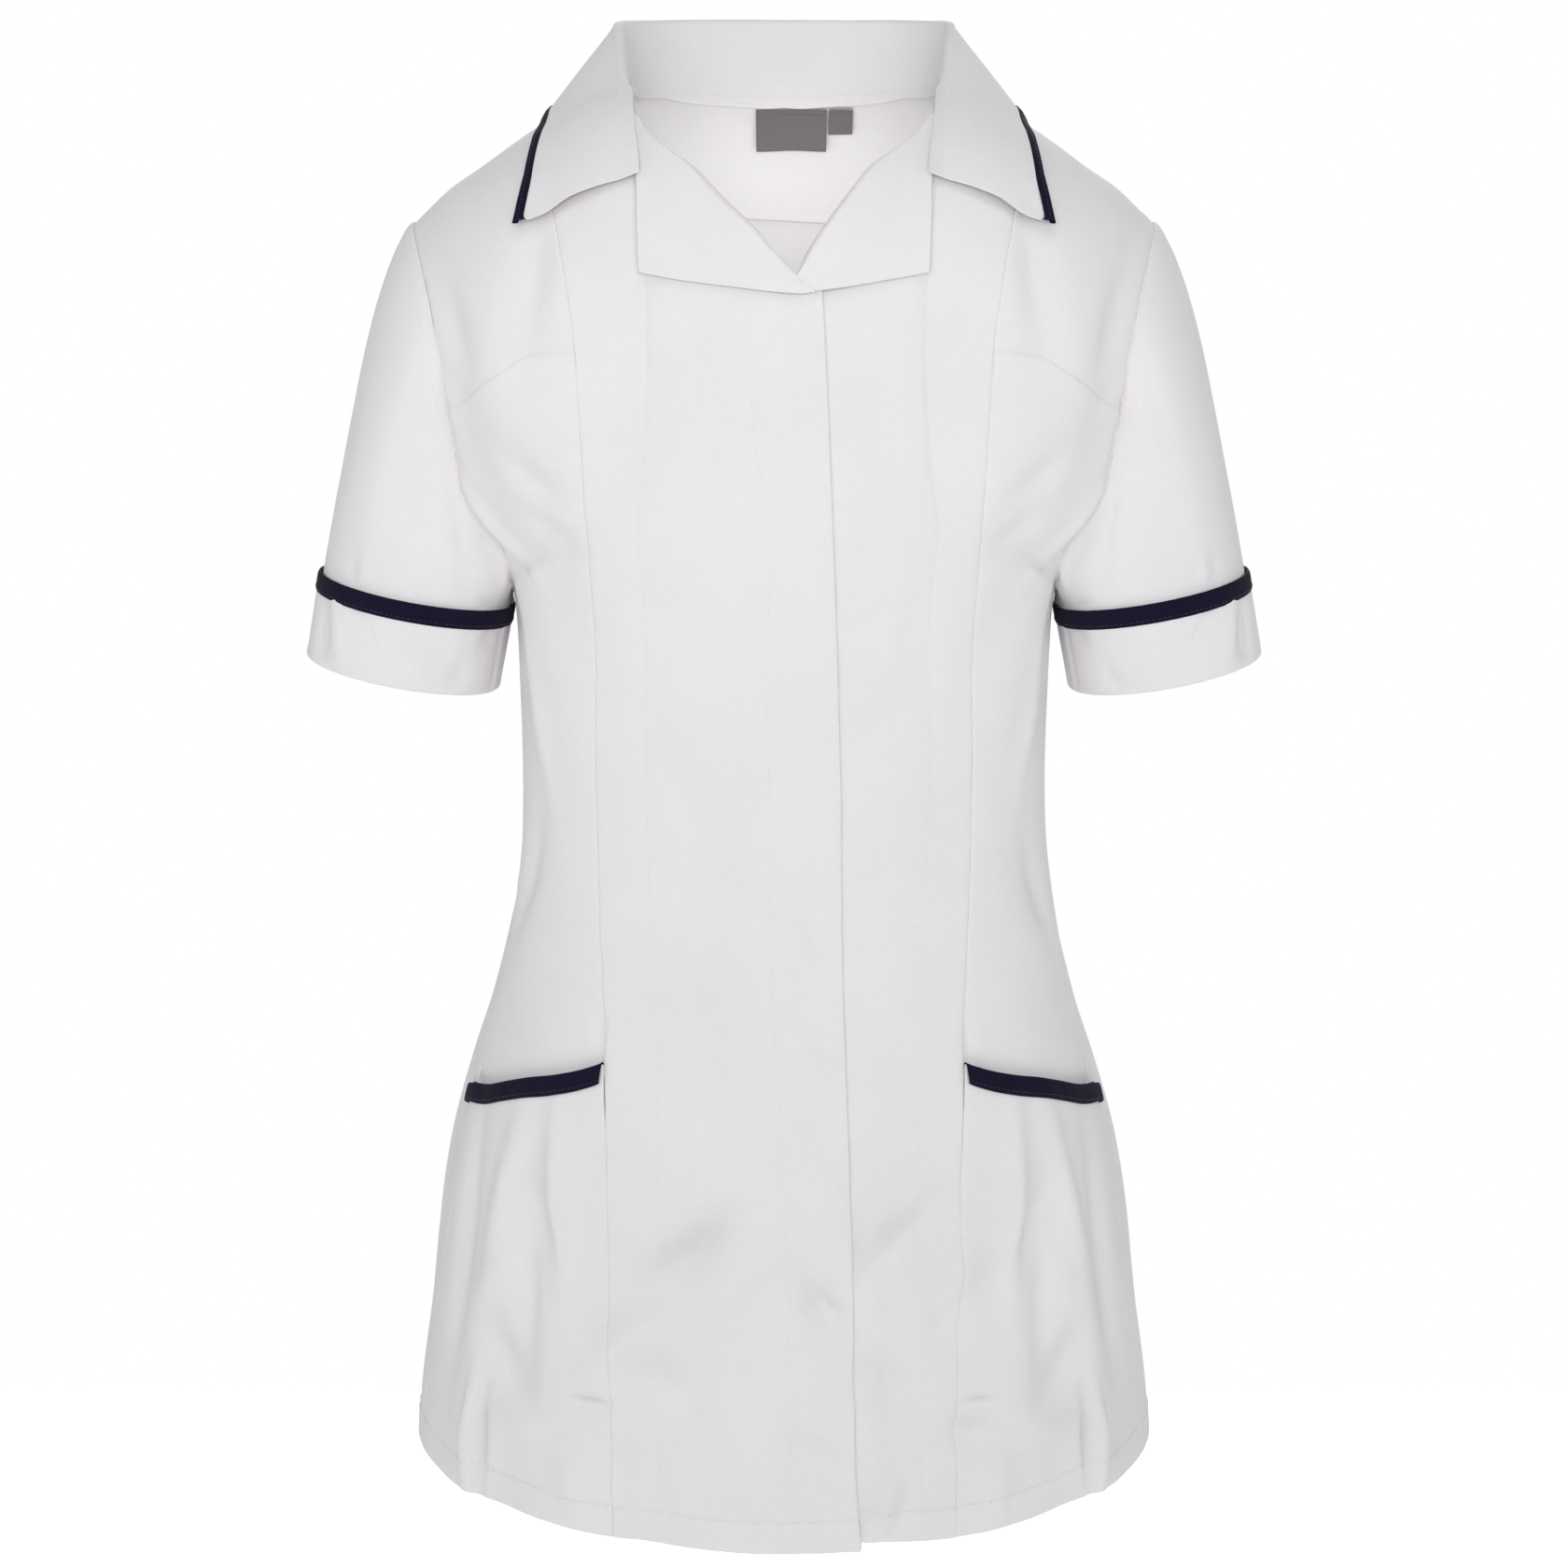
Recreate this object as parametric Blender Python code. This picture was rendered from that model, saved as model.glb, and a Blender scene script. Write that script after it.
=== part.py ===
"""Short-sleeved medical tunic, filled out as if worn and hollow inside.

Lengths are in millimetres until a mesh is made. The front faces -Y and the wearer's right is -X.
The origin lies where the wearer's shoulders carry the tunic, level with the back neck seam.
"""
import math

import bpy
from mathutils import Vector

# Driving dimensions
MM = 0.001
CLOTH = 1.4
TRIM_CLOTH = 1.0
SEAM_GAP = 0.2
LAYER_GAP = 0.5
HEM_Z = -718.6
HEM_SIDE_RISE = 4.8
UNDER_HEM_RISE = 6.5
UNDERARM_Z = -250.0
BAG_BOTTOM_Z = -651.0
FACING_BOTTOM_Z = -61.0
SHOULDER_Y = 4.0
SHOULDER_ROUND = 95.0
SHOULDER_SNAP = 0.4
SHOULDER_X = 189.5
NECK_X = 80.0
OVERLAP_LIFT = 2.3
UNDERLAP = 30.0
POCKET_TRIM_WIDTH = 9.5
POCKET_TRIM_WRAP = 3.0
COLLAR_TRIM_WIDTH = 6.0

# Sleeve end: a tilted oval ring, measured at the top of the cuff
CUFF_CENTRE = Vector((189.9, -4.0, -248.2))
CUFF_TILT = math.radians(11.0)
CUFF_HALF_WIDTH = 50.3
CUFF_HALF_DEPTH = 54.0
CUFF_HEIGHT = 44.5
CUFF_TRIM_WIDTH = 9.5
CUFF_PROUD = 2.0
CUFF_INNER_SHARE = 0.955
SLEEVE_OFF = 0.75
BAG_TUCK = 3.4

# Body sections. Columns: height, half width, front depth, back depth, squareness
SECTIONS = (
    (30, 206, 112, 96, 2.5),
    (-20, 202, 112, 96, 2.5),
    (-62, 197, 112, 96, 2.5),
    (-110, 188.5, 117, 98, 2.5),
    (-150, 180, 121, 99, 2.5),
    (-185, 169.5, 123.5, 98.5, 2.45),
    (-204, 160, 124, 98, 2.42),
    (-221, 149.5, 123, 97, 2.38),
    (-236, 143.5, 122, 96, 2.35),
    (-250, 140.6, 120, 95, 2.32),
    (-264, 139.2, 118, 93, 2.3),
    (-304, 138, 110, 89.5, 2.25),
    (-344, 137.5, 105, 88, 2.2),
    (-385, 139.6, 107, 91, 2.15),
    (-425, 146, 113, 97.5, 2.12),
    (-467, 155.5, 121.5, 107, 2.1),
    (-509, 167.5, 130, 117.5, 2.08),
    (-551, 177.5, 136.5, 126, 2.06),
    (-594, 185.3, 142, 133.5, 2.04),
    (-637, 191.7, 146.5, 140, 2.02),
    (-681, 198.3, 150.5, 146, 2.0),
    (-718, 201.8, 153, 150, 2.0),
    (-745, 203, 155, 152, 2.0),
)
HALF_WIDTH, FRONT_DEPTH, BACK_DEPTH, SQUARENESS = 1, 2, 3, 4

# Shoulder line. Columns: distance from the centre, height
RIDGE = ((0, 24), (40, 21), (80, 12), (104, -1), (128, -15), (155, -34), (170, -44), (189.5, -62), (212, -84))

# Seams on the body. Columns: height, distance from the centre
PRINCESS = ((-718, 88), (-620, 89), (-520, 90.7), (-450, 92), (-385, 94.4), (-320, 95), (-260, 94.5),
            (-175, 98), (-120, 101), (-94, 104), (-55, 112), (-10, 121))
FRONT_EDGE = ((-718, 38), (-681, 35.5), (-582, 33.7), (-510, 31.5), (-440, 29), (-320, 27), (-160, 21), (-85, 17.5))
# Columns: height, angle from the centre front
SIDE_SEAM = ((-718, 78), (-520, 77), (-440, 79), (-340, 84), (-250, 90))

# Armhole. Columns: height, angle from the centre front or from the centre back
ARMHOLE_FRONT = ((-250, 90), (-242, 79), (-232, 72), (-221, 70), (-204, 71), (-185, 71.5), (-153, 69),
                 (-130, 66.5), (-102, 65.8), (-77, 68.5))
ARMHOLE_BACK = ((-250, 90), (-243, 80), (-228, 74), (-205, 71.5), (-185, 70.5), (-150, 70), (-120, 70), (-90, 71))

# Cross seams. Columns: distance from the centre, height
BUST_SEAM = ((101, -119), (113, -119.5), (126, -122), (135, -128), (150, -138), (165, -149), (172, -153))
POCKET_TOP = ((91, -477), (97, -480), (105, -483.5), (117, -488), (130, -492.5), (142, -498), (156, -506), (170, -513))

# Neckline. Columns: distance from the centre on the panel's own side, height
NECK_BACK = ((0, 0), (40, 1.5), (60, 4), (72, 7.5), (77.5, 10), (80, 12))
ROLL_RIGHT = ((80, 12), (78.7, 7), (76, 2.5), (73.5, -3), (70.8, -9), (64.4, -18.5), (55, -26), (45.8, -32.5),
              (30, -49), (18.6, -59.7), (6.6, -71), (-5.3, -82.8))
ROLL_LEFT = ((80, 12), (78.7, 7), (76, 2.5), (73.5, -3), (70.5, -9), (64.2, -17.3), (54, -25), (43.6, -32.5),
             (33.7, -44.6), (25, -56), (18.2, -65.4), (9.5, -79))

# Turned-out front below the collar, its outer edge. Columns: height, distance from the centre
REVERS_OUTER = ((-81.5, 68.6), (-58, 69.4), (-34.7, 70), (-17, 72.2), (-5, 73))
# Its lower edge. Columns: distance from the centre, height
REVERS_BOTTOM_RIGHT = ((68.6, -81.5), (48.7, -85), (26.6, -88), (4.4, -90.5), (-7.5, -91.3))
REVERS_BOTTOM_LEFT = ((68.6, -81.5), (44.3, -86.2), (26.6, -89.2), (12, -90.5))
REVERS_OUT = 2.8
REVERS_TOP_Z = -9.0
# The rolled edge. Columns: distance past the roll line, distance off the panel, facing in degrees,
# share of the lift over the other front
REVERS_ROLL = ((-3.6, -3.7, 180, 0.0), (0.5, -3.6, 165, 0.0), (2.8, -0.7, 90, 0.3), (0.8, 2.4, 15, 1.0))

# Soft folds that are pressed into or stand out of the body. Columns: angle from the centre front,
# height, half width in degrees, half height, lean in degrees for each 100 mm down, depth
FOLDS = (
    (-62, -172, 9, 34, 16, -3.0),
    (62, -172, 9, 34, -16, -3.0),
    (-45, -262, 8, 52, 10, -1.6),
    (45, -262, 8, 52, -10, -1.6),
    (-35, -565, 6, 52, 2, -1.6),
    (36, -568, 6, 56, -2, -1.6),
    (-58, -690, 6, 62, 0, 2.6),
    (-47, -700, 5, 50, 0, -2.4),
    (58, -690, 6, 62, 0, 2.6),
    (47, -700, 5, 50, 0, -2.4),
    (10, -380, 9, 120, 0, -1.4),
    (-13, -420, 8, 100, -3, -1.2),
    (120, -380, 12, 70, 6, -4.0),
    (-120, -380, 12, 70, -6, -4.0),
    (150, -330, 10, 60, 8, -2.6),
    (-148, -345, 10, 60, -8, -2.6),
    (146, -650, 9, 110, 0, 3.4),
    (-146, -655, 9, 110, 0, 3.4),
    (166, -640, 8, 120, 0, -3.0),
    (-166, -640, 8, 120, 0, -3.0),
    (108, -650, 8, 90, 0, -2.4),
    (-108, -650, 8, 90, 0, -2.4),
)

# Collar, from the centre back (share 0) to its front end (share 1).
# Columns: share, seam x y z, fold x y z, outer edge x y z
COLLAR = (
    (0.00, 0, 65, 0, 0, 68, 41, 0, 90, -20),
    (0.14, 30, 62, 0.9, 30, 65.5, 41, 36, 89, -20),
    (0.26, 55, 53, 3.2, 56, 56, 40.6, 70, 80, -19.5),
    (0.36, 72, 37, 7.5, 75, 37, 39.6, 100, 58, -17),
    (0.44, 79, 17, 11, 84, 18, 38.6, 115.5, 31, -12),
    (0.50, 80, -1, 11.5, 84, 2, 35.5, 120.5, 3, -7.5),
    (0.57, 79, -24, 8, 81, -24, 19.5, 122.4, -24, -13.5),
    (0.64, 77.5, -46, 2.5, 77, -50, 4.5, 124, -46, -22.5),
    (0.82, 73.5, -80, -17, 73.5, -84, -17, 128, -71, -41.5),
    (1.00, 71, -98, -35, 71, -101, -35, 131.5, -83, -59),
)
STAND_END = 0.62

NAVY = (0.0097, 0.0070, 0.0212, 1.0)
WHITE = (0.80, 0.79, 0.80, 1.0)
GREY = (0.195, 0.180, 0.190, 1.0)


def spline(table, at, column=1):
    """Smooth value of one column of a table, keyed by its first column."""
    rows = sorted(table)
    last = len(rows) - 1
    keys = [row[0] for row in rows]
    values = [row[column] for row in rows]
    left = min(max(sum(1 for key in keys if key <= at) - 1, 0), last - 1)

    def slope(index):
        low = max(index - 1, 0)
        high = min(index + 1, last)
        return (values[high] - values[low]) / (keys[high] - keys[low])

    if at < keys[0]:
        return values[0] + slope(0) * (at - keys[0])
    if at > keys[last]:
        return values[last] + slope(last) * (at - keys[last])
    span = keys[left + 1] - keys[left]
    f = (at - keys[left]) / span
    start = (1 + 2 * f) * (1 - f) ** 2 * values[left] + f * (1 - f) ** 2 * span * slope(left)
    end = f * f * (3 - 2 * f) * values[left + 1] + f * f * (f - 1) * span * slope(left + 1)
    return start + end


def ease(low, high, at):
    """0 below low, 1 above high, smooth between."""
    f = min(max((at - low) / (high - low), 0.0), 1.0)
    return f * f * (3 - 2 * f)


def ridge(x):
    """Height of the shoulder line."""
    return spline(RIDGE, abs(x))


def wrapped(angle):
    """The same angle between -180 and 180 degrees."""
    return (angle + 180.0) % 360.0 - 180.0


def fold_depth(angle, z):
    """How far the soft folds move the cloth outwards."""
    angle = wrapped(angle)
    total = 0.0
    for centre, height, half_width, half_height, lean, depth in FOLDS:
        across = (angle - centre - lean * (height - z) / 100.0) / half_width
        along = (z - height) / half_height
        total += depth * math.exp(-across * across - along * along)
    return total


def smooth_body(angle, z):
    """Point of the body cloth without folds. The angle is 0 at centre front and 180 at centre back."""
    angle = wrapped(angle)
    behind = abs(angle) > 90.0
    turn = math.radians(180.0 - abs(angle) if behind else abs(angle))
    power = 2.0 / spline(SECTIONS, z, SQUARENESS)
    x = math.copysign(spline(SECTIONS, z, HALF_WIDTH) * math.sin(turn) ** power, angle)
    depth = spline(SECTIONS, z, BACK_DEPTH) if behind else -spline(SECTIONS, z, FRONT_DEPTH)
    below = min(max((ridge(x) - z - SHOULDER_SNAP) / SHOULDER_ROUND, 0.0), 1.0)
    share = math.sqrt(1 - (1 - below) ** 2)
    y = SHOULDER_Y * (1 - share) + depth * max(math.cos(turn), 0.0) ** power * share
    return Vector((x, y, z))


def body_normal(angle, z):
    """Outward direction of the body cloth."""
    point = smooth_body(angle, z)
    if ridge(point.x) - z < 0.6:
        slope = (ridge(abs(point.x) + 1) - ridge(abs(point.x) - 1)) / 2
        return Vector((math.copysign(-slope, point.x), 0, 1)).normalized()
    step = 0.05
    around = smooth_body(angle + step, z) - smooth_body(angle - step, z)
    down = smooth_body(angle, z - step) - smooth_body(angle, z + step)
    return down.cross(around).normalized()


def body(angle, z, out=0.0):
    """Point of the body cloth, moved out by a distance, with its outward direction."""
    normal = body_normal(angle, z)
    return smooth_body(angle, z) + normal * (out + fold_depth(angle, z)), normal


def angle_at(x, z, behind=False):
    """Angle of the body point at a distance from the centre."""
    power = spline(SECTIONS, z, SQUARENESS) / 2
    sine = min(abs(x) / spline(SECTIONS, z, HALF_WIDTH), 1.0) ** power
    angle = math.degrees(math.asin(min(sine, 1.0)))
    return math.copysign(180.0 - angle if behind else angle, x)


def on_body(points, behind=False):
    """Turns (x, z) pairs into (angle, z) pairs."""
    return [(angle_at(x, z, behind), z) for x, z in points]


def dense(table, count=60):
    """Points of a table's smooth curve, in the order of its rows."""
    keys = [row[0] for row in table]
    steps = [keys[0] + (keys[-1] - keys[0]) * i / count for i in range(count + 1)]
    return [(key, spline(table, key)) for key in steps]


def spread(curve, count):
    """Evenly spaced (angle, z) points, by real length, along a curve of (angle, z) points."""
    places = [smooth_body(angle, z) for angle, z in curve]
    lengths = [0.0]
    for before, after in zip(places, places[1:]):
        lengths.append(lengths[-1] + (after - before).length)
    result = []
    k = 0
    for i in range(count + 1):
        goal = lengths[-1] * i / count
        while k < len(lengths) - 2 and lengths[k + 1] < goal:
            k += 1
        f = (goal - lengths[k]) / max(lengths[k + 1] - lengths[k], 1e-9)
        result.append(tuple(a + (b - a) * f for a, b in zip(curve[k], curve[k + 1])))
    return result


def ridge_line(start, end, count=24, behind=False):
    """Shoulder line between two distances from the centre."""
    steps = [start + (end - start) * i / count for i in range(count + 1)]
    return [(angle_at(x, ridge(x), behind), ridge(x)) for x in steps]


def seam_line(table, top, bottom, count=60):
    """(angle, z) points of a table of (height, distance) rows."""
    heights = [top + (bottom - top) * (i / count) ** 2 for i in range(count + 1)]
    return [(angle_at(spline(table, z), z), z) for z in heights]


def side_line(top, bottom, count=30):
    """(angle, z) points of the side seam."""
    heights = [top + (bottom - top) * i / count for i in range(count + 1)]
    return [(spline(SIDE_SEAM, z), z) for z in heights]


def armhole_line(table, behind, top, bottom, count=60):
    """(angle, z) points of one side of the armhole, from the shoulder down."""
    shoulder = abs(angle_at(SHOULDER_X, ridge(SHOULDER_X)))
    rows = table + ((ridge(SHOULDER_X), shoulder),)
    heights = [top + (bottom - top) * math.sin(math.pi / 2 * i / count) ** 1.5 for i in range(count + 1)]
    angles = [min(spline(rows, z), 90.0) for z in heights]
    return [(180.0 - angle if behind else angle, z) for angle, z in zip(angles, heights)]


def shares_of(line):
    """How far down each point of a line lies, from 0 to 1."""
    top, bottom = line[0][1], line[-1][1]
    return [(top - z) / (top - bottom) for _, z in line]


def patch(top, bottom, left, right):
    """Fills four edges of (angle, z) points. Rows run down and columns run across."""
    columns = len(top) - 1
    shares = shares_of(left)
    grid = []
    for j, v in enumerate(shares):
        row = []
        for i in range(columns + 1):
            u = i / columns
            across = [(1 - u) * a + u * b for a, b in zip(left[j], right[j])]
            down = [(1 - v) * a + v * b for a, b in zip(top[i], bottom[i])]
            upper = [(1 - u) * a + u * b for a, b in zip(top[0], top[-1])]
            lower = [(1 - u) * a + u * b for a, b in zip(bottom[0], bottom[-1])]
            corner = [(1 - v) * a + v * b for a, b in zip(upper, lower)]
            row.append(tuple(a + d - c for a, d, c in zip(across, down, corner)))
        grid.append(row)
    return grid


def hem_height(angle, rise=0.0):
    """Height of the hem at an angle, a little higher at the sides and the back."""
    side = 1.0 if abs(wrapped(angle)) > 90.0 else math.sin(math.radians(angle)) ** 2
    return HEM_Z + HEM_SIDE_RISE * side + rise


def hem_line(first, last, columns, rise_at=None):
    """(angle, z) points along the hem."""
    line = []
    for i in range(61):
        angle = first + (last - first) * i / 60
        line.append((angle, hem_height(angle, rise_at(angle) if rise_at else 0.0)))
    return spread(line, columns)


def at_shares(line_at, top, bottom, shares):
    """Points of a seam at the given shares of its height."""
    heights = [top + (bottom - top) * v for v in shares]
    return [line_at(z) for z in heights]


def material(name, colour, roughness):
    """A plain Principled material."""
    made = bpy.data.materials.new(name)
    made.use_nodes = True
    shader = made.node_tree.nodes["Principled BSDF"]
    shader.inputs["Base Color"].default_value = colour
    shader.inputs["Roughness"].default_value = roughness
    shader.inputs["Metallic"].default_value = 0.0
    made.diffuse_color = colour
    return made


def draw_in(grid, closed):
    """Moves the edges of a grid of (point, normal) pairs in by the seam gap."""
    rows, columns = len(grid), len(grid[0])
    moved = [[Vector(point) for point, _ in row] for row in grid]
    for j in range(rows):
        for i in range(columns):
            shift = Vector()
            if not closed and i in (0, columns - 1):
                inner = grid[j][1 if i == 0 else columns - 2][0]
                shift += (inner - grid[j][i][0]).normalized()
            if j in (0, rows - 1):
                inner = grid[1 if j == 0 else rows - 2][i][0]
                shift += (inner - grid[j][i][0]).normalized()
            moved[j][i] += shift * SEAM_GAP
    return [[(moved[j][i], grid[j][i][1]) for i in range(columns)] for j in range(rows)]


def runs_backwards(grid):
    """True where the grid's rows and columns turn against its normals."""
    total = 0.0
    for upper, lower in zip(grid, grid[1:]):
        for i in range(len(upper) - 1):
            down = lower[i][0] - upper[i][0]
            across = upper[i + 1][0] - upper[i][0]
            total += down.cross(across).dot(upper[i][1])
    return total < 0.0


def wall(name, grid, finish, thickness=CLOTH, closed=False):
    """A closed cloth wall: the grid's points are its outer face, its inner face lies behind them."""
    grid = draw_in(grid, closed)
    rows, columns = len(grid), len(grid[0])
    outer = [point * MM for row in grid for point, _ in row]
    inner = [(point - normal * thickness) * MM for row in grid for point, normal in row]
    behind = rows * columns
    faces = []
    spans = columns if closed else columns - 1

    def corner(j, i):
        return j * columns + i % columns

    for j in range(rows - 1):
        for i in range(spans):
            a, b, c, d = corner(j, i), corner(j + 1, i), corner(j + 1, i + 1), corner(j, i + 1)
            if (outer[a] - outer[c]).length <= (outer[b] - outer[d]).length:
                halves = ((a, b, c), (a, c, d))
            else:
                halves = ((a, b, d), (b, c, d))
            for half in halves:
                faces.append(half)
                faces.append(tuple(behind + k for k in reversed(half)))
    for i in range(spans):
        first, second = corner(0, i), corner(0, i + 1)
        faces.append((first, second, behind + second, behind + first))
        first, second = corner(rows - 1, i + 1), corner(rows - 1, i)
        faces.append((first, second, behind + second, behind + first))
    if not closed:
        for j in range(rows - 1):
            first, second = corner(j + 1, 0), corner(j, 0)
            faces.append((first, second, behind + second, behind + first))
            first, second = corner(j, columns - 1), corner(j + 1, columns - 1)
            faces.append((first, second, behind + second, behind + first))
    if runs_backwards(grid):
        faces = [tuple(reversed(face)) for face in faces]
    mesh = bpy.data.meshes.new(name)
    mesh.from_pydata(outer + inner, [], faces)
    mesh.validate()
    mesh.materials.append(finish)
    mesh.shade_smooth()
    mesh.set_sharp_from_angle(angle=math.radians(40))
    made = bpy.data.objects.new(name, mesh)
    bpy.data.collections[COLLECTION].objects.link(made)
    return made


def body_wall(name, flat, side, finish, out=None, thickness=CLOTH):
    """A wall on the body from a grid of (angle, z) points of the left side; side is 1 or -1."""
    grid = []
    for row in flat:
        line = []
        for angle, z in row:
            lift = out(angle, z) if out else 0.0
            line.append(body(angle * side, z, lift))
        grid.append(line)
    return wall(name, grid, finish, thickness)


COLLECTION = "medical_tunic"

ARMHOLE_UPPER_STEPS = 6
ARMHOLE_LOWER_STEPS = 5
BUST_END_Z = -153.0
SIDE_STEPS = 16
ROLL_STEPS = 9


def armhole_front():
    """Front armhole points from the shoulder down to the underarm."""
    top = ridge(SHOULDER_X)
    upper = spread(armhole_line(ARMHOLE_FRONT, False, top, BUST_END_Z), ARMHOLE_UPPER_STEPS)
    lower = armhole_line(ARMHOLE_FRONT, False, BUST_END_Z, UNDERARM_Z)
    return upper + spread(lower, ARMHOLE_LOWER_STEPS)[1:]


def armhole_back():
    """Back armhole points from the shoulder down to the underarm."""
    line = armhole_line(ARMHOLE_BACK, True, ridge(SHOULDER_X), UNDERARM_Z)
    return spread(line, ARMHOLE_UPPER_STEPS + ARMHOLE_LOWER_STEPS)


def princess_at(z):
    return angle_at(spline(PRINCESS, z), z), z


def princess_top():
    """Height at which the princess seam meets the shoulder line."""
    return ridge(PRINCESS[-1][1])


def princess_upper():
    """Points of the princess seam above the bust seam, level with the armhole's."""
    shares = shares_of(armhole_front()[:ARMHOLE_UPPER_STEPS + 1])
    return at_shares(princess_at, princess_top(), BUST_SEAM[0][1], shares)


def side_front_outer():
    """Armhole and side seam points of the side front below the bust seam."""
    return armhole_front()[ARMHOLE_UPPER_STEPS:] + spread(side_line(UNDERARM_Z, BAG_BOTTOM_Z), SIDE_STEPS - 3)[1:]


def princess_lower():
    """Points of the princess seam from the bust seam to the bottom of the side front."""
    return at_shares(princess_at, BUST_SEAM[0][1], BAG_BOTTOM_Z, shares_of(side_front_outer()))


def princess_end():
    """Points of the princess seam below the side front, down to the hem."""
    hem = hem_height(princess_at(HEM_Z)[0])
    return [princess_at((BAG_BOTTOM_Z + hem) / 2), princess_at(hem)]


def roll_points(roll):
    """Evenly spaced points of a neck and roll line, shared by a front and its turned-out part."""
    return spread(on_body(dense(roll)), ROLL_STEPS)


def overlap_lift(x_from_centre):
    """How far the upper layer stands off where the fronts overlap; x grows towards its own side."""
    return OVERLAP_LIFT * (1 - ease(14.0, 46.0, x_from_centre))


def front_flat(roll, edge_top, edge_at, hem_rise):
    """(angle, z) grid of a centre front on its own side, with negative angles past the centre."""
    top = spread(ridge_line(PRINCESS[-1][1], NECK_X), 2) + roll_points(roll)[1:]
    top += [(angle_at(*edge_top), edge_top[1])]
    hem_angle = princess_at(HEM_Z)[0]
    edge_angle = edge_at(HEM_Z)[0]

    def rise_at(angle):
        return hem_rise * (1 - ease(edge_angle, hem_angle, angle))

    bottom = hem_line(hem_angle, edge_angle, len(top) - 1, rise_at)
    left = princess_upper() + princess_lower()[1:] + princess_end()
    right = at_shares(edge_at, edge_top[1], bottom[-1][1], shares_of(left))
    return patch(top, bottom, left, right)


def make_fronts(white):
    """The two centre fronts, right over left."""
    def upper_edge(z):
        return angle_at(-spline(FRONT_EDGE, z), z), z

    def under_edge(z):
        return angle_at(spline(FRONT_EDGE, z) - UNDERLAP, z), z

    def lift(angle, z):
        return overlap_lift(smooth_body(angle, z).x)

    right = front_flat(ROLL_RIGHT, (-17.5, -88.0), upper_edge, 0.0)
    body_wall("front_right", right, -1, white, lift)
    left = front_flat(ROLL_LEFT, (-12.5, -97.0), under_edge, UNDER_HEM_RISE)
    body_wall("front_left", left, 1, white)


def make_side_fronts(side, word, white):
    """Side front above and below the bust seam."""
    hole = armhole_front()
    seam = on_body(dense(tuple(reversed(BUST_SEAM))))
    bust = spread([hole[ARMHOLE_UPPER_STEPS]] + seam[4:], 4)
    bust[-1] = princess_at(BUST_SEAM[0][1])
    top = spread(ridge_line(SHOULDER_X, PRINCESS[-1][1]), 4)
    upper = patch(top, bust, hole[:ARMHOLE_UPPER_STEPS + 1], princess_upper())
    body_wall("side_front_upper_" + word, upper, side, white)

    left = side_front_outer()
    right = princess_lower()
    bottom = spread([left[-1], right[-1]], 4)
    lower = patch(bust, bottom, left, right)

    def tuck(angle, z):
        mouth = spline(POCKET_TOP, abs(smooth_body(angle, z).x))
        return -BAG_TUCK * ease(-14.0, 8.0, mouth - z)

    body_wall("side_front_" + word, lower, side, white, tuck)


def make_pocket(side, word, white, navy):
    """Pocket front, from its bound mouth down to the hem, and the binding."""
    mouth_side_z = spline(POCKET_TOP, 166.5)
    top_curve = on_body(dense(tuple(reversed(POCKET_TOP))))
    side_angle = spline(SIDE_SEAM, mouth_side_z)
    top_curve = [(side_angle, mouth_side_z)] + [pair for pair in top_curve if pair[0] < side_angle - 1]
    top_curve[-1] = princess_at(POCKET_TOP[0][1])
    top = spread(top_curve, 8)
    bottom = hem_line(spline(SIDE_SEAM, HEM_Z), princess_at(HEM_Z)[0], 8)
    seam = [pair for pair in princess_lower() if pair[1] < POCKET_TOP[0][1] - 6]
    right = [princess_at(POCKET_TOP[0][1])] + seam + princess_end()
    left = [side_line(z, z, 1)[0] for z in [mouth_side_z + (bottom[0][1] - mouth_side_z) * share
                                            for share in shares_of(right)]]
    flat = patch(top, bottom, left, right)

    def proud(angle, z):
        mouth = spline(POCKET_TOP, min(abs(smooth_body(angle, z).x), 168.0))
        return 1.1 * (1 - ease(0.0, 70.0, mouth - z))

    body_wall("pocket_" + word, flat, side, white, proud)

    around = [(top[0][0] + POCKET_TRIM_WRAP, top[0][1] - 1.5)] + top
    trim_top = [(angle, z + 0.9) for angle, z in around]
    trim_low = [(angle, z - POCKET_TRIM_WIDTH) for angle, z in around]
    trim = [[(a + (b - a) * f, c + (d - c) * f) for (a, c), (b, d) in zip(trim_top, trim_low)]
            for f in (0.0, 1.0)]

    def over(angle, z):
        return proud(angle, z) + TRIM_CLOTH + LAYER_GAP

    body_wall("pocket_trim_" + word, trim, side, navy, over, TRIM_CLOTH)


def neck_back_line():
    """Back neckline from the shoulder seam to the centre."""
    return on_body(dense(tuple(reversed(NECK_BACK))), behind=True)


def down_column(column, z):
    """Point and normal at a height on a column of (point, normal) pairs that runs down."""
    for (high, normal), (low, next_normal) in zip(column, column[1:]):
        if low.z <= z:
            f = (high.z - z) / (high.z - low.z)
            return high.lerp(low, f), normal.lerp(next_normal, f).normalized()
    return column[-1]


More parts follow.
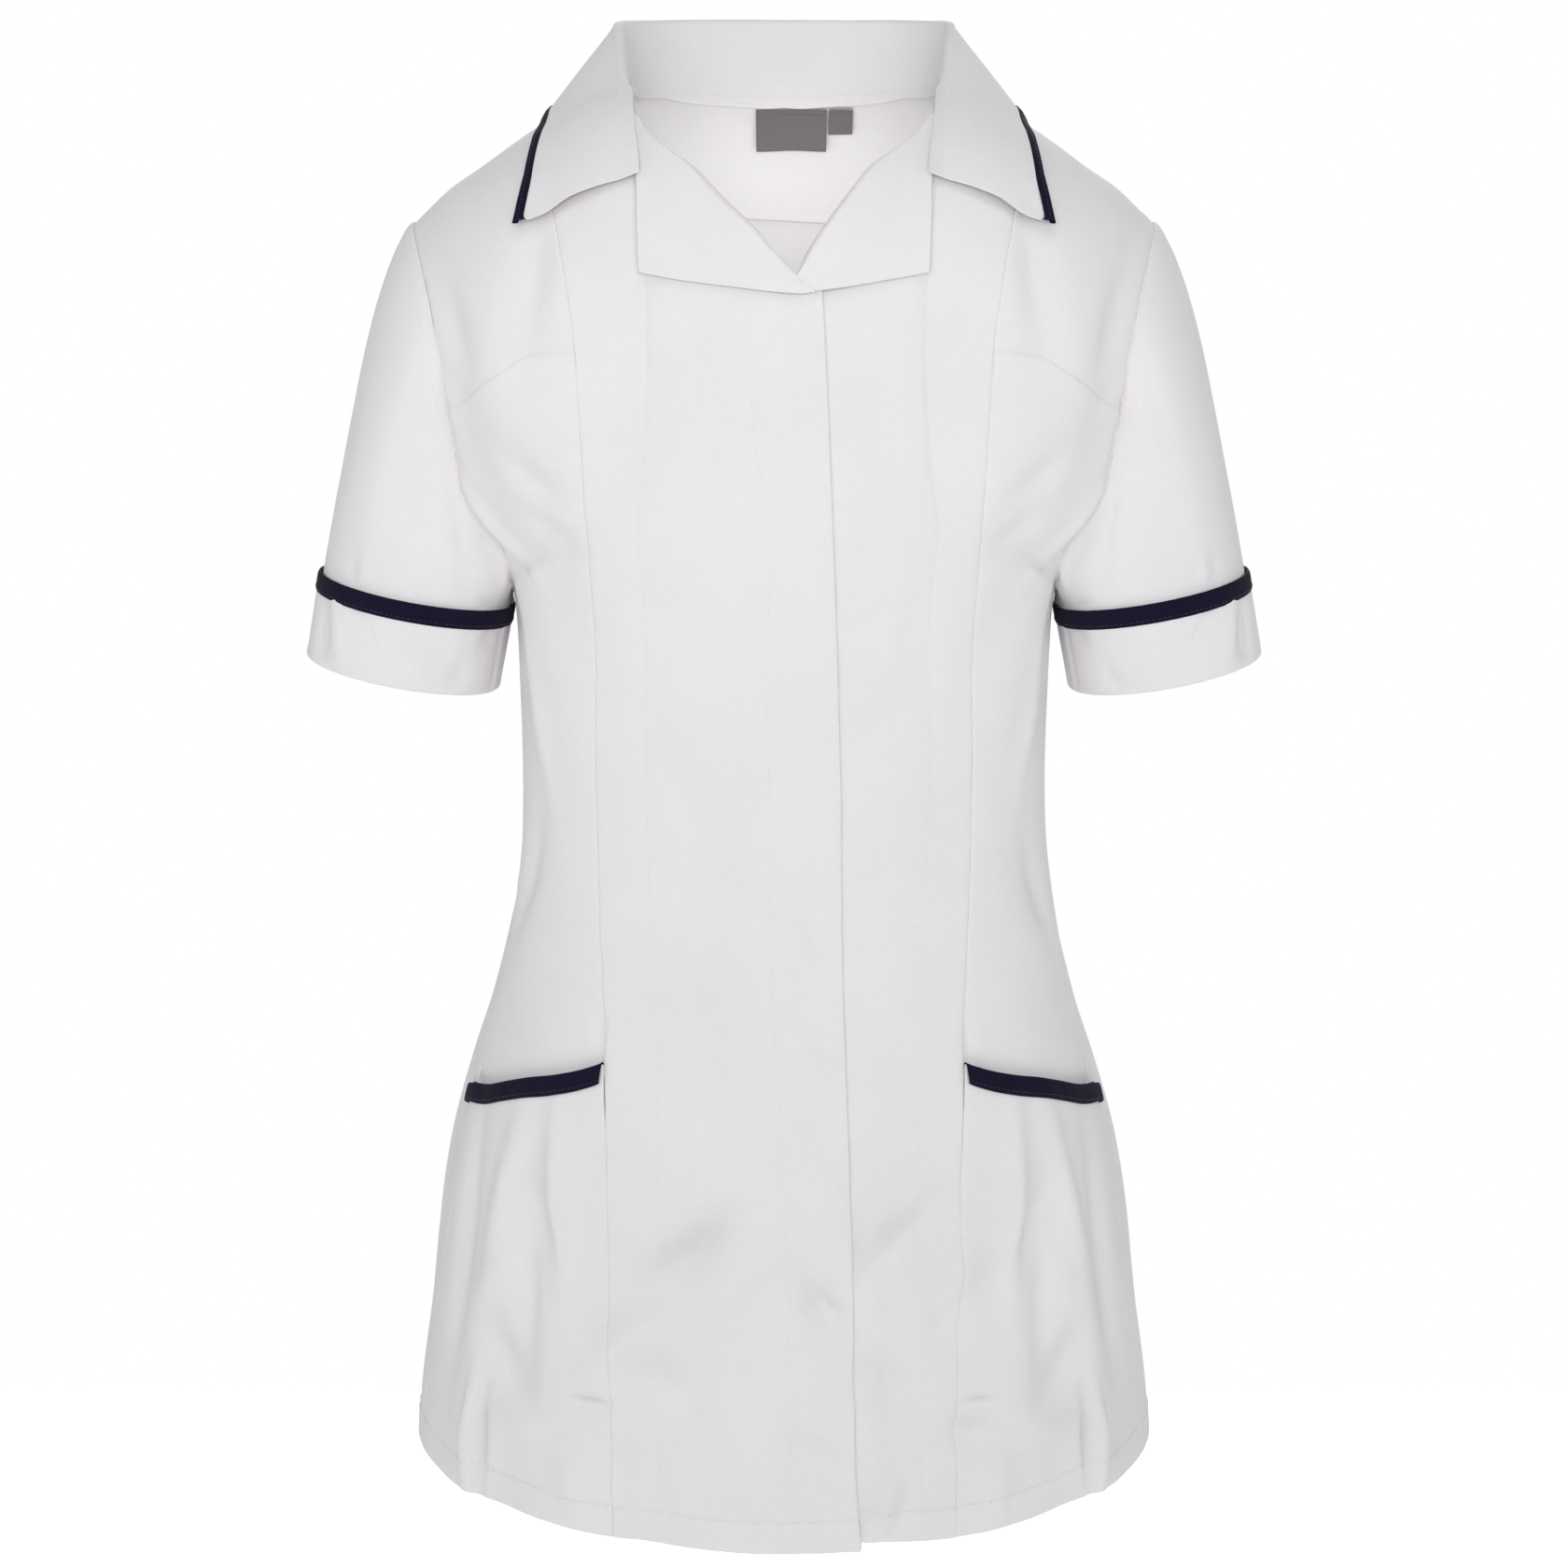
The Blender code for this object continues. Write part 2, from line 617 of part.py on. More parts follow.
def make_back(white):
    """Back panel between the side seams, and the facing inside its neck."""
    half = ridge_line(SHOULDER_X, NECK_X, behind=True) + neck_back_line()[1:-1]
    across = spread(half + [(180.0, 0.0)], 8)
    top = across + [(360.0 - angle, z) for angle, z in reversed(across[:-1])]
    hem = spline(SIDE_SEAM, HEM_Z)
    bottom = hem_line(hem, 360.0 - hem, 16)
    left = armhole_back() + spread(side_line(UNDERARM_Z, bottom[0][1]), SIDE_STEPS)[1:]
    right = [(360.0 - angle, z) for angle, z in left]
    flat = patch(top, bottom, left, right)
    grid = [[body(angle, z) for angle, z in row] for row in flat]
    wall("back", grid, white)

    columns = [column for column in zip(*grid) if abs(column[0][0].x) < NECK_X]
    inside = CLOTH + 2 * LAYER_GAP
    full_rows = sum(1 for point, _ in columns[len(columns) // 2] if point.z > FACING_BOTTOM_Z + 5)
    facing = []
    for j in range(full_rows + 1):
        row = []
        for column in columns:
            point, normal = column[j] if j < full_rows else down_column(column, FACING_BOTTOM_Z)
            up_slope = (Vector((0, 0, 1)) - normal * normal.z).normalized()
            row.append((point - normal * inside + up_slope * (1.1 if j == 0 else 0.0), normal))
        facing.append(row)
    wall("back_neck_facing", facing, white)


def make_labels(grey):
    """Bare labels that hang inside the back neck."""
    inside = -2 * CLOTH - 2 * LAYER_GAP - 1.3
    for name, x_low, x_high, z_low in (("neck_label", -14.7, 22.5, -25.0), ("size_tab", 24.0, 36.5, -16.5)):
        grid = []
        for j in range(4):
            z = -4.0 + (z_low + 4.0) * j / 3
            line = []
            for i in range(4):
                x = x_high + (x_low - x_high) * i / 3
                angle = angle_at(x, z, behind=True) if abs(x) > 0.01 else 180.0
                line.append(body(angle, z, inside - 0.5 * j))
            grid.append(line)
        wall(name, grid, grey, 0.8)


def revers_grid(roll, bottom, lift_under, columns=6):
    """Points and normals of a turned-out front, rolled over the edge of its panel."""
    inner = [pair for pair in roll_points(roll) if pair[1] < REVERS_TOP_Z]
    rows = len(inner) - 1
    outer = spread(seam_line(REVERS_OUTER, inner[0][1] - 1.5, REVERS_OUTER[0][0]), rows)
    low = spread(on_body(bottom), columns - 1) + [inner[-1]]
    low[0] = outer[-1]
    flat = patch(spread([outer[0], inner[0]], columns), low, outer, inner)
    grid = []
    for j in range(rows + 1):
        here, normal = body(*inner[j])
        ahead = smooth_body(*inner[min(j + 1, rows)]) - smooth_body(*inner[max(j - 1, 0)])
        toward_neck = ahead.cross(normal).normalized()
        row = []
        for along, off, turn, share in REVERS_ROLL:
            turn = math.radians(turn)
            facing = normal * math.cos(turn) + toward_neck * math.sin(turn)
            lift = overlap_lift(here.x) * max(share, lift_under)
            if along < 0.0:
                along *= 1 - 0.75 * ease(rows - 2.0, rows, j)
            row.append((here + toward_neck * along + normal * (off + lift), facing))
        for i in range(columns - 1, -1, -1):
            angle, z = flat[j][i]
            row.append(body(angle, z, REVERS_OUT + overlap_lift(smooth_body(angle, z).x)))
        grid.append(row)
    return grid


def make_revers(side, word, roll, bottom, lift_under, white):
    """Turned-out front on one side; lift_under is 1 where its panel is the upper one."""
    grid = revers_grid(roll, bottom, lift_under)
    wall("revers_" + word, mirror_grid(grid, side), white)


def cuff_point(turn, along, proud=0.0):
    """Point and normal of the left cuff ring; turn is 0 at its outermost line and 90 in front."""
    axis = Vector((math.sin(CUFF_TILT), 0, -math.cos(CUFF_TILT)))
    across = Vector((math.cos(CUFF_TILT), 0, math.sin(CUFF_TILT)))
    forward = Vector((0, -1, 0))
    c, s = math.cos(math.radians(turn)), math.sin(math.radians(turn))
    wide, deep = CUFF_HALF_WIDTH + proud, CUFF_HALF_DEPTH + proud
    wide *= 1.0 if c > 0 else 1 - (1 - CUFF_INNER_SHARE) * c * c
    normal = (across * c / wide + forward * s / deep).normalized()
    return CUFF_CENTRE + axis * along + across * wide * c + forward * deep * s, normal


def sleeve_turns():
    """Turn of each column of the sleeve and the cuff round the cuff ring."""
    half = ARMHOLE_UPPER_STEPS + ARMHOLE_LOWER_STEPS
    return [180.0 * k / half for k in range(2 * half)]


def sleeve_grid(rows=7):
    """Points and normals of the left sleeve, from the armhole to the end below the cuff."""
    front, back = armhole_front(), armhole_back()
    loop = front + back[-2:0:-1]
    count = len(loop)
    starts = []
    for angle, z in loop:
        point, normal = body(angle, z)
        starts.append(point + normal * SLEEVE_OFF)
    axis = Vector((math.sin(CUFF_TILT), 0, -math.cos(CUFF_TILT)))
    lines = []
    for k, turn in enumerate(sleeve_turns()):
        end, _ = cuff_point(turn, 0.0)
        high = (1 + math.cos(math.radians(turn))) / 2
        forward = -math.sin(math.radians(turn))
        leave = Vector((0.22 + 0.5 * high, 0.16 * forward, -0.98 + 0.28 * high)).normalized()
        reach = (end - starts[k]).length
        first = starts[k] + leave * reach * (0.36 - 0.24 * high)
        second = end - axis * reach * (0.36 + 0.2 * high)
        lines.append((starts[k], first, second, end))
    grid = []
    for j in range(rows + 1):
        t = j / rows
        points, downs = [], []
        for a, b, c, d in lines:
            points.append(a * (1 - t) ** 3 + b * 3 * t * (1 - t) ** 2 + c * 3 * t * t * (1 - t) + d * t ** 3)
            downs.append((b - a) * (1 - t) ** 2 + (c - b) * 2 * t * (1 - t) + (d - c) * t * t)
        row = []
        for k in range(count):
            around = points[(k + 1) % count] - points[k - 1]
            row.append((points[k], around.cross(downs[k]).normalized()))
        grid.append(row)
    for along in (CUFF_HEIGHT / 2, CUFF_HEIGHT - 1.5):
        grid.append([cuff_point(turn, along) for turn in sleeve_turns()])
    return grid


def mirror_grid(grid, side):
    """The grid on the given side; side is 1 for the wearer's left."""
    return [[(Vector((p.x * side, p.y, p.z)), Vector((n.x * side, n.y, n.z))) for p, n in row] for row in grid]


def make_sleeve(side, word, white, navy):
    """Sleeve, its turned-up cuff and the binding on the cuff's top edge."""
    wall("sleeve_" + word, mirror_grid(sleeve_grid(), side), white, closed=True)
    for name, start, end, proud, thick, finish, rows in (
            ("cuff_", CUFF_TRIM_WIDTH, CUFF_HEIGHT, CUFF_PROUD, CLOTH, white, 3),
            ("cuff_trim_", 0.0, CUFF_TRIM_WIDTH, CUFF_PROUD + 0.2, CLOTH, navy, 1)):
        grid = []
        for j in range(rows + 1):
            along = start + (end - start) * j / rows
            grid.append([cuff_point(turn, along, proud) for turn in sleeve_turns()])
        wall(name + word, mirror_grid(grid, side), finish, thick, closed=True)


def collar_row(share):
    """Seam, fold and outer edge of the collar at a share of its length on the left side."""
    values = [spline(COLLAR, share, column) for column in range(1, 10)]
    return Vector(values[0:3]), Vector(values[3:6]), Vector(values[6:9])


def clear_of_body(point, clear):
    """Moves a point of the collar off the body cloth, forwards or backwards."""
    if point.z > ridge(point.x) - 0.5:
        return point
    behind = point.y > SHOULDER_Y
    angle = angle_at(point.x if abs(point.x) > 0.01 else 0.01, point.z, behind)
    surface, normal = body(angle, point.z)
    off = (point - surface).dot(normal)
    if off >= clear:
        return point
    return point + normal * (clear - off)


def collar_profile(share):
    """Points of the collar from its neck seam over the fold to its outer edge, in order."""
    seam, fold, edge = collar_row(share)
    outward = Vector((fold.x, fold.y + 14.0, 0)).normalized()
    if share > 0.5:
        outward = outward.lerp(Vector((0.9, -0.45, 0)), ease(0.5, 0.64, share)).normalized()
    up = Vector((0, 0, 1))
    toward = (edge - fold).normalized()
    radius = 2.3
    rolled = 1 - ease(0.57, 0.68, share)
    arc = [fold - outward * radius - up * 2.2, fold + up * 0.6, fold + outward * radius - up * 2.0]
    flat = [clear_of_body(fold + toward * step, 3.4 * (1 - rolled)) for step in (0.0, 2.6, 5.2)]
    top = [b.lerp(a, rolled) for a, b in zip(arc, flat)]
    stand_low = seam - outward * 2.1 + up * 0.9
    if share <= STAND_END:
        top[0] = top[0].lerp(stand_low, 0.7 * ease(0.55, 0.63, share))
    stand = [stand_low.lerp(top[0] - up * 0.4, f) for f in (0.0, 0.5, 1.0)]
    length = (edge - top[2]).length
    shares = [0.25, 0.5, 0.75, 1 - (COLLAR_TRIM_WIDTH + 0.2) / length]
    fall = list(top)
    for f in shares + [1 - (COLLAR_TRIM_WIDTH - 0.2) / length, 1.0]:
        point = top[2].lerp(edge, f) + outward * 1.6 * math.sin(math.pi * f) * rolled
        fall.append(clear_of_body(point, 3.4 + 2.0 * math.sin(math.pi * f) * (1 - rolled)))
    return stand, fall[:7], fall[7:]


def with_normals(points, hint):
    """Adds normals to a grid of points from its neighbours, all on the side of the hint."""
    rows, columns = len(points), len(points[0])
    grid = []
    for j in range(rows):
        line = []
        for i in range(columns):
            across = points[j][min(i + 1, columns - 1)] - points[j][max(i - 1, 0)]
            down = points[min(j + 1, rows - 1)][i] - points[max(j - 1, 0)][i]
            normal = across.cross(down).normalized() * hint
            line.append((points[j][i], normal))
        grid.append(line)
    return grid


def make_collar(white, navy):
    """Collar stand, fall and the piping along the fall's outer edge."""
    half = [i / 18 for i in range(19)]
    shares = [-s for s in reversed(half[1:])] + half
    profiles = []
    for share in shares:
        parts = collar_profile(abs(share))
        if share < 0:
            parts = tuple([Vector((-p.x, p.y, p.z)) for p in part] for part in parts)
        profiles.append(parts)
    inside = [p for p, share in zip(profiles, shares) if abs(share) <= STAND_END]
    whole = [[(parts[0] + parts[1] + parts[2])[j] for parts in profiles] for j in range(12)]
    grid = with_normals(whole, 1.0)
    for above, below in zip(grid[2], grid[3]):
        shared = (above[1] + below[1]).normalized()
        grid[2][grid[2].index(above)] = (above[0], shared)
        grid[3][grid[3].index(below)] = (below[0], shared)
    first = shares.index(next(s for s in shares if abs(s) <= STAND_END))
    stand = [row[first:first + len(inside)] for row in grid[0:3]]
    wall("collar_stand", stand, white)
    wall("collar_fall", grid[3:10], white)
    wall("collar_trim", grid[10:12], navy, TRIM_CLOTH)


def main():
    for old in list(bpy.data.objects):
        bpy.data.objects.remove(old)
    collection = bpy.data.collections.new(COLLECTION)
    bpy.context.scene.collection.children.link(collection)
    white = material("white_twill", WHITE, 0.85)
    navy = material("navy_trim", NAVY, 0.8)
    grey = material("label_satin", GREY, 0.6)
    make_fronts(white)
    make_back(white)
    make_labels(grey)
    make_collar(white, navy)
    make_revers(-1, "right", ROLL_RIGHT, REVERS_BOTTOM_RIGHT, 1.0, white)
    make_revers(1, "left", ROLL_LEFT, REVERS_BOTTOM_LEFT, 0.0, white)
    for side, word in ((-1, "right"), (1, "left")):
        make_side_fronts(side, word, white)
        make_pocket(side, word, white, navy)
        make_sleeve(side, word, white, navy)


main()
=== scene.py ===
"""Looks of the short-sleeved medical tunic: fine cloth, seams, stitches, bindings and bare labels.

Lengths are in millimetres until a mesh is made. The front faces -Y and the wearer's right is -X.
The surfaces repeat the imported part's own sizes, with finer steps, creases and rounded edges.
"""
import math
from collections import namedtuple

import bpy
import numpy as np
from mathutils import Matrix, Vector


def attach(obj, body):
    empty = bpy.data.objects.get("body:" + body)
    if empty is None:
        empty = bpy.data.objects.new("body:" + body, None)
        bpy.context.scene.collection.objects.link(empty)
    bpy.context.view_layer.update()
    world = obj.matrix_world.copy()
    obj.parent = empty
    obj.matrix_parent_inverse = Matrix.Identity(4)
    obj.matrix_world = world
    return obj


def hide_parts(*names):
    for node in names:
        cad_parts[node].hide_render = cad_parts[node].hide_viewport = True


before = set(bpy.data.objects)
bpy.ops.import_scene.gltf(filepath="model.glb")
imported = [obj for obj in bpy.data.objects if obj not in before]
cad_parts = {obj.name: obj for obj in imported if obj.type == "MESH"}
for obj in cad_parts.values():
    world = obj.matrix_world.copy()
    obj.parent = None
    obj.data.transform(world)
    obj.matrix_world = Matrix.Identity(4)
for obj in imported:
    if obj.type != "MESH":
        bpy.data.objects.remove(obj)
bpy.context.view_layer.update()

# Sizes shared with the part
MM = 0.001
HEM_Z = -718.6
HEM_SIDE_RISE = 4.8
UNDER_HEM_RISE = 6.5
UNDERARM_Z = -250.0
BAG_BOTTOM_Z = -651.0
FACING_BOTTOM_Z = -61.0
SHOULDER_Y = 4.0
SHOULDER_ROUND = 95.0
SHOULDER_SNAP = 0.4
SHOULDER_X = 189.5
NECK_X = 80.0
OVERLAP_LIFT = 2.3
UNDERLAP = 30.0
BUST_END_Z = -153.0
BAG_TUCK = 3.4
POCKET_TRIM_WRAP = 3.0
COLLAR_TRIM_WIDTH = 6.0
CUFF_CENTRE = np.array((189.9, -4.0, -248.2))
CUFF_TILT = math.radians(11.0)
CUFF_HALF_WIDTH = 50.3
CUFF_HALF_DEPTH = 54.0
CUFF_HEIGHT = 44.5
CUFF_TRIM_WIDTH = 9.5
CUFF_PROUD = 2.0
CUFF_INNER_SHARE = 0.955
SLEEVE_OFF = 0.75
STAND_END = 0.62

# Thickness of the cloth as it is drawn here, and what the hems and the upper front edge add to it
CLOTH = 0.9
TRIM_CLOTH = 0.5
COLLAR_TRIM_CLOTH = 0.45
LABEL_CLOTH = 0.45
HEM_EXTRA = 0.5
FRONT_EDGE_EXTRA = 1.2
# How far an edge is rounded, as a share of the thickness
RIM_ROUND = 0.45

# Steps of the grids, in millimetres, and columns and rows of the tubes
FINE_STEP = 3.0
BACK_STEP = 3.5
ROUND_STEPS = 180
SLEEVE_ROWS = 62

# Body sections. Columns: height, half width, front depth, back depth, squareness
SECTIONS = (
    (30, 206, 112, 96, 2.5),
    (-20, 202, 112, 96, 2.5),
    (-62, 197, 112, 96, 2.5),
    (-110, 188.5, 117, 98, 2.5),
    (-150, 180, 121, 99, 2.5),
    (-185, 169.5, 123.5, 98.5, 2.45),
    (-204, 160, 124, 98, 2.42),
    (-221, 149.5, 123, 97, 2.38),
    (-236, 143.5, 122, 96, 2.35),
    (-250, 140.6, 120, 95, 2.32),
    (-264, 139.2, 118, 93, 2.3),
    (-304, 138, 110, 89.5, 2.25),
    (-344, 137.5, 105, 88, 2.2),
    (-385, 139.6, 107, 91, 2.15),
    (-425, 146, 113, 97.5, 2.12),
    (-467, 155.5, 121.5, 107, 2.1),
    (-509, 167.5, 130, 117.5, 2.08),
    (-551, 177.5, 136.5, 126, 2.06),
    (-594, 185.3, 142, 133.5, 2.04),
    (-637, 191.7, 146.5, 140, 2.02),
    (-681, 198.3, 150.5, 146, 2.0),
    (-718, 201.8, 153, 150, 2.0),
    (-745, 203, 155, 152, 2.0),
)
HALF_WIDTH, FRONT_DEPTH, BACK_DEPTH, SQUARENESS = 1, 2, 3, 4

# Shoulder line. Columns: distance from the centre, height
RIDGE = ((0, 24), (40, 21), (80, 12), (104, -1), (128, -15), (155, -34), (170, -44), (189.5, -62),
         (212, -84))

# Seams on the body. Columns: height, distance from the centre
PRINCESS = ((-718, 88), (-620, 89), (-520, 90.7), (-450, 92), (-385, 94.4), (-320, 95), (-260, 94.5),
            (-175, 98), (-120, 101), (-94, 104), (-55, 112), (-10, 121))
FRONT_EDGE = ((-718, 38), (-681, 35.5), (-582, 33.7), (-510, 31.5), (-440, 29), (-320, 27), (-160, 21),
              (-85, 17.5))
# Columns: height, angle from the centre front
SIDE_SEAM = ((-718, 78), (-520, 77), (-440, 79), (-340, 84), (-250, 90))

# Armhole. Columns: height, angle from the centre front or from the centre back
ARMHOLE_FRONT = ((-250, 90), (-242, 79), (-232, 72), (-221, 70), (-204, 71), (-185, 71.5), (-153, 69),
                 (-130, 66.5), (-102, 65.8), (-77, 68.5))
ARMHOLE_BACK = ((-250, 90), (-243, 80), (-228, 74), (-205, 71.5), (-185, 70.5), (-150, 70), (-120, 70),
                (-90, 71))

# Cross seams. Columns: distance from the centre, height
BUST_SEAM = ((101, -119), (113, -119.5), (126, -122), (135, -128), (150, -138), (165, -149), (172, -153))
POCKET_TOP = ((91, -477), (97, -480), (105, -483.5), (117, -488), (130, -492.5), (142, -498), (156, -506),
              (170, -513))
POCKET_SIDE_X = 166.5

# Neckline. Columns: distance from the centre on the panel's own side, height
NECK_BACK = ((0, 0), (40, 1.5), (60, 4), (72, 7.5), (77.5, 10), (80, 12))
ROLL_RIGHT = ((80, 12), (78.7, 7), (76, 2.5), (73.5, -3), (70.8, -9), (64.4, -18.5), (55, -26), (45.8, -32.5),
              (30, -49), (18.6, -59.7), (6.6, -71), (-5.3, -82.8))
ROLL_LEFT = ((80, 12), (78.7, 7), (76, 2.5), (73.5, -3), (70.5, -9), (64.2, -17.3), (54, -25), (43.6, -32.5),
             (33.7, -44.6), (25, -56), (18.2, -65.4), (9.5, -79))

# Turned-out front below the collar. Columns: height, distance from the centre
REVERS_OUTER = ((-81.5, 68.6), (-58, 69.4), (-34.7, 70), (-17, 72.2), (-5, 73))
# Its lower edge. Columns: distance from the centre, height
REVERS_BOTTOM_RIGHT = ((68.6, -81.5), (48.7, -85), (26.6, -87.9), (9, -90.2), (-2.3, -91.3), (-8.5, -91.5),
                       (-13.0, -90.8))
REVERS_BOTTOM_LEFT = ((68.6, -81.5), (44.3, -85.7), (26.6, -88.6), (14, -90.2), (8.4, -90.8))
# Where the roll lines end, under or over the other side. Columns: distance from the centre, height
ROLL_END_RIGHT = (-14.6, -90.2)
ROLL_END_LEFT = (5.9, -83.6)
REVERS_OUT = 2.8
REVERS_CROSSING = 1.1
REVERS_TOP_Z = -9.0
# The rolled edge. Columns: distance past the roll line, distance off the panel, share of the overlap's lift
REVERS_ROLL = ((-3.6, -3.7, 0.0), (0.5, -3.6, 0.0), (2.8, -0.7, 0.3), (0.8, 2.4, 1.0))

# The part's large folds. Columns: angle from the centre front, height, half width in degrees, half height,
# lean in degrees for each 100 mm down, depth
FOLDS = (
    (-62, -172, 9, 34, 16, -3.0),
    (62, -172, 9, 34, -16, -3.0),
    (-45, -262, 8, 52, 10, -1.6),
    (45, -262, 8, 52, -10, -1.6),
    (-35, -565, 6, 52, 2, -1.6),
    (36, -568, 6, 56, -2, -1.6),
    (-58, -690, 6, 62, 0, 2.6),
    (-47, -700, 5, 50, 0, -2.4),
    (58, -690, 6, 62, 0, 2.6),
    (47, -700, 5, 50, 0, -2.4),
    (10, -380, 9, 120, 0, -1.4),
    (-13, -420, 8, 100, -3, -1.2),
    (120, -380, 12, 70, 6, -4.0),
    (-120, -380, 12, 70, -6, -4.0),
    (150, -330, 10, 60, 8, -2.6),
    (-148, -345, 10, 60, -8, -2.6),
    (146, -650, 9, 110, 0, 3.4),
    (-146, -655, 9, 110, 0, 3.4),
    (166, -640, 8, 120, 0, -3.0),
    (-166, -640, 8, 120, 0, -3.0),
    (108, -650, 8, 90, 0, -2.4),
    (-108, -650, 8, 90, 0, -2.4),
)

# Finer creases that show in the photograph, and similar ones on the sides and the back. Same columns
CREASES = (
    # Front
    (35, -86, 4, 36, 9, -5.2),
    (-35, -88, 4, 34, -9, -5.7),
    (57, -108, 5, 33, -4, -4.7),
    (-57, -112, 5.5, 30, 4, -4.7),
    (61, -139, 4, 14, -26, -2.1),
    (-61, -141, 4, 14, 26, -2.3),
    (3, -172, 5, 70, 2, 2.6),
    (-43.3, -181, 6, 12, 30, -4.7),
    (43.3, -182, 6, 12, -30, -4.7),
    (-66, -205, 2.6, 26, 34, 4.7),
    (43.5, -206, 6, 11, -24, -4.2),
    (66, -207, 2.6, 24, -36, 4.2),
    (-43.5, -208, 6, 10, 24, -4.2),
    (-22, -230, 4.5, 60, -3, -2.6),
    (24, -246, 4.5, 64, 3, -2.6),
    (73, -264, 3.4, 33, -20, -2.6),
    (-74, -268, 3.4, 30, 22, -2.9),
    (66, -296, 4, 42, -13, 3.6),
    (-64, -300, 4, 46, 12, 3.6),
    (20, -300, 6, 22, -14, -3.6),
    (-22, -330, 6, 24, 12, -3.9),
    (5, -345, 6, 20, -18, 3.4),
    (-8, -390, 6, 20, 15, -3.6),
    (-70, -395, 5, 30, -14, -4.2),
    (68, -402, 5, 26, 15, -3.6),
    (4.5, -418, 3.2, 15, 8, -4.2),
    (13, -420, 5, 20, 20, -1.8),
    (-6, -440, 5, 16, -20, 2),
    (-36.4, -462, 1.4, 10, 4, -2.9),
    (36.4, -463, 1.4, 11, -4, -2.9),
    (4.2, -470, 3.6, 6, 12, -2.3),
    (6.5, -484, 2.8, 17, -6, -4.7),
    (3, -502, 3.4, 7, -20, -2.3),
    (3.5, -512, 2.4, 10, 22, -3.1),
    (-40, -552, 2.4, 40, 7, 6.5),
    (41, -556, 2.4, 44, -6, 6.5),
    (-54, -560, 3.4, 50, -3, 5.2),
    (-44.9, -560, 4, 18, 24, -6.5),
    (9, -560, 2.2, 30, 5, 4.5),
    (19.5, -561, 5, 24, -32, -7),
    (-13.4, -565, 5.5, 24, -34, -7.8),
    (44.9, -566, 4, 20, -22, -6.5),
    (55, -566, 3.2, 56, 3, 5.2),
    (-16, -575, 4.2, 30, -20, -6.5),
    (21, -578, 4, 34, 16, -5.9),
    (-3.3, -582, 2.6, 18, -30, -3.9),
    (25, -588, 5, 20, -28, 6.9),
    (-66, -590, 3.6, 60, 2, -6.2),
    (5.5, -592, 3, 22, 12, -7.1),
    (6.5, -594, 3, 8, 25, -3.6),
    (-52, -596, 4, 16, -20, 3.6),
    (65, -596, 3.6, 56, -2, -5.7),
    (-45.5, -600, 3, 46, 4, -6.5),
    (-20, -600, 6, 18, -24, 7.1),
    (51, -600, 4, 17, 18, 3.6),
    (46, -604, 3, 42, -5, -6.5),
    (-24, -612, 4, 26, -22, 5.2),
    (0.6, -612, 3.6, 13, 10, 4.2),
    (14, -632, 5, 14, 20, -5.9),
    (-19, -634, 6, 15, 25, -6.9),
    (-49.7, -640, 5, 20, 14, -7.8),
    (49.7, -643, 5, 19, -15, -7.8),
    (-8, -648, 6, 14, 20, 3.6),
    (-31, -649, 3.6, 3.2, 0, -5.2),
    (31, -649, 3.4, 3, 0, -5.2),
    (17, -650, 3, 40, 4, -5.2),
    (3, -662, 4, 14, 30, -5.9),
    (30, -664, 5, 10, 20, -6.5),
    (-44.5, -666, 6, 10, 22, 5.5),
    (-12, -668, 5, 24, -10, 5.2),
    (44, -670, 6, 10, -20, 5.5),
    (1.3, -672, 5, 10, -30, -2.6),
    (-53.2, -684, 1.1, 24, 1, -8.8),
    (-55.6, -686, 1.3, 26, 1, 7.1),
    (53.2, -686, 1.1, 21, -1, -8.3),
    (55.5, -688, 1.3, 24, -1, 7.1),
    (-33, -690, 3.4, 22, 4, 4.5),
    (33, -692, 3.2, 22, -4, 4.5),
    (14.5, -699, 1.8, 15, -14, 7.1),
    (-20, -700, 4.5, 26, 0, -5.2),
    # Sides
    (104, -262, 6.4, 34, 18, -2.3),
    (-103, -266, 6, 36, -17, -2.1),
    (113, -304, 6, 38, 14, 1.8),
    (-112, -310, 6.4, 34, -15, 1.6),
    (-88, -420, 4.5, 44, 6, -5.2),
    (89, -428, 4.5, 40, -7, -4.7),
    (-96, -560, 4, 80, 1, 5.2),
    (97, -566, 4, 76, -2, 5.2),
    (118, -690, 3, 34, 0, 2.6),
    (-119, -692, 3, 32, 0, 2.6),
    # Back
    (152, -90, 7, 16, 30, -2.1),
    (-150, -94, 7, 15, -32, -2.1),
    (130, -120, 5, 44, 10, -2.6),
    (-131, -126, 5, 40, -11, -2.3),
    (172, -180, 6, 70, 4, -1.8),
    (-168, -196, 5, 64, -4, -1.6),
    (160, -318, 6.5, 11, 20, -3.1),
    (178, -345, 7, 12, 12, -2.3),
    (138, -352, 5, 13, 40, -3.6),
    (-134, -362, 5.4, 12, -44, -3.4),
    (-164, -372, 6, 12, -28, -2.9),
    (-127, -410, 4, 36, 15, 2.3),
    (126, -418, 4, 34, -16, 2.3),
    (-158, -548, 4.2, 96, -1, 2.3),
    (157, -560, 4.4, 90, 1, 2.3),
    (130, -600, 4, 80, -2, -2.9),
    (178, -600, 5, 100, 0, 2.9),
    (-131, -610, 4, 76, 2, -2.6),
)

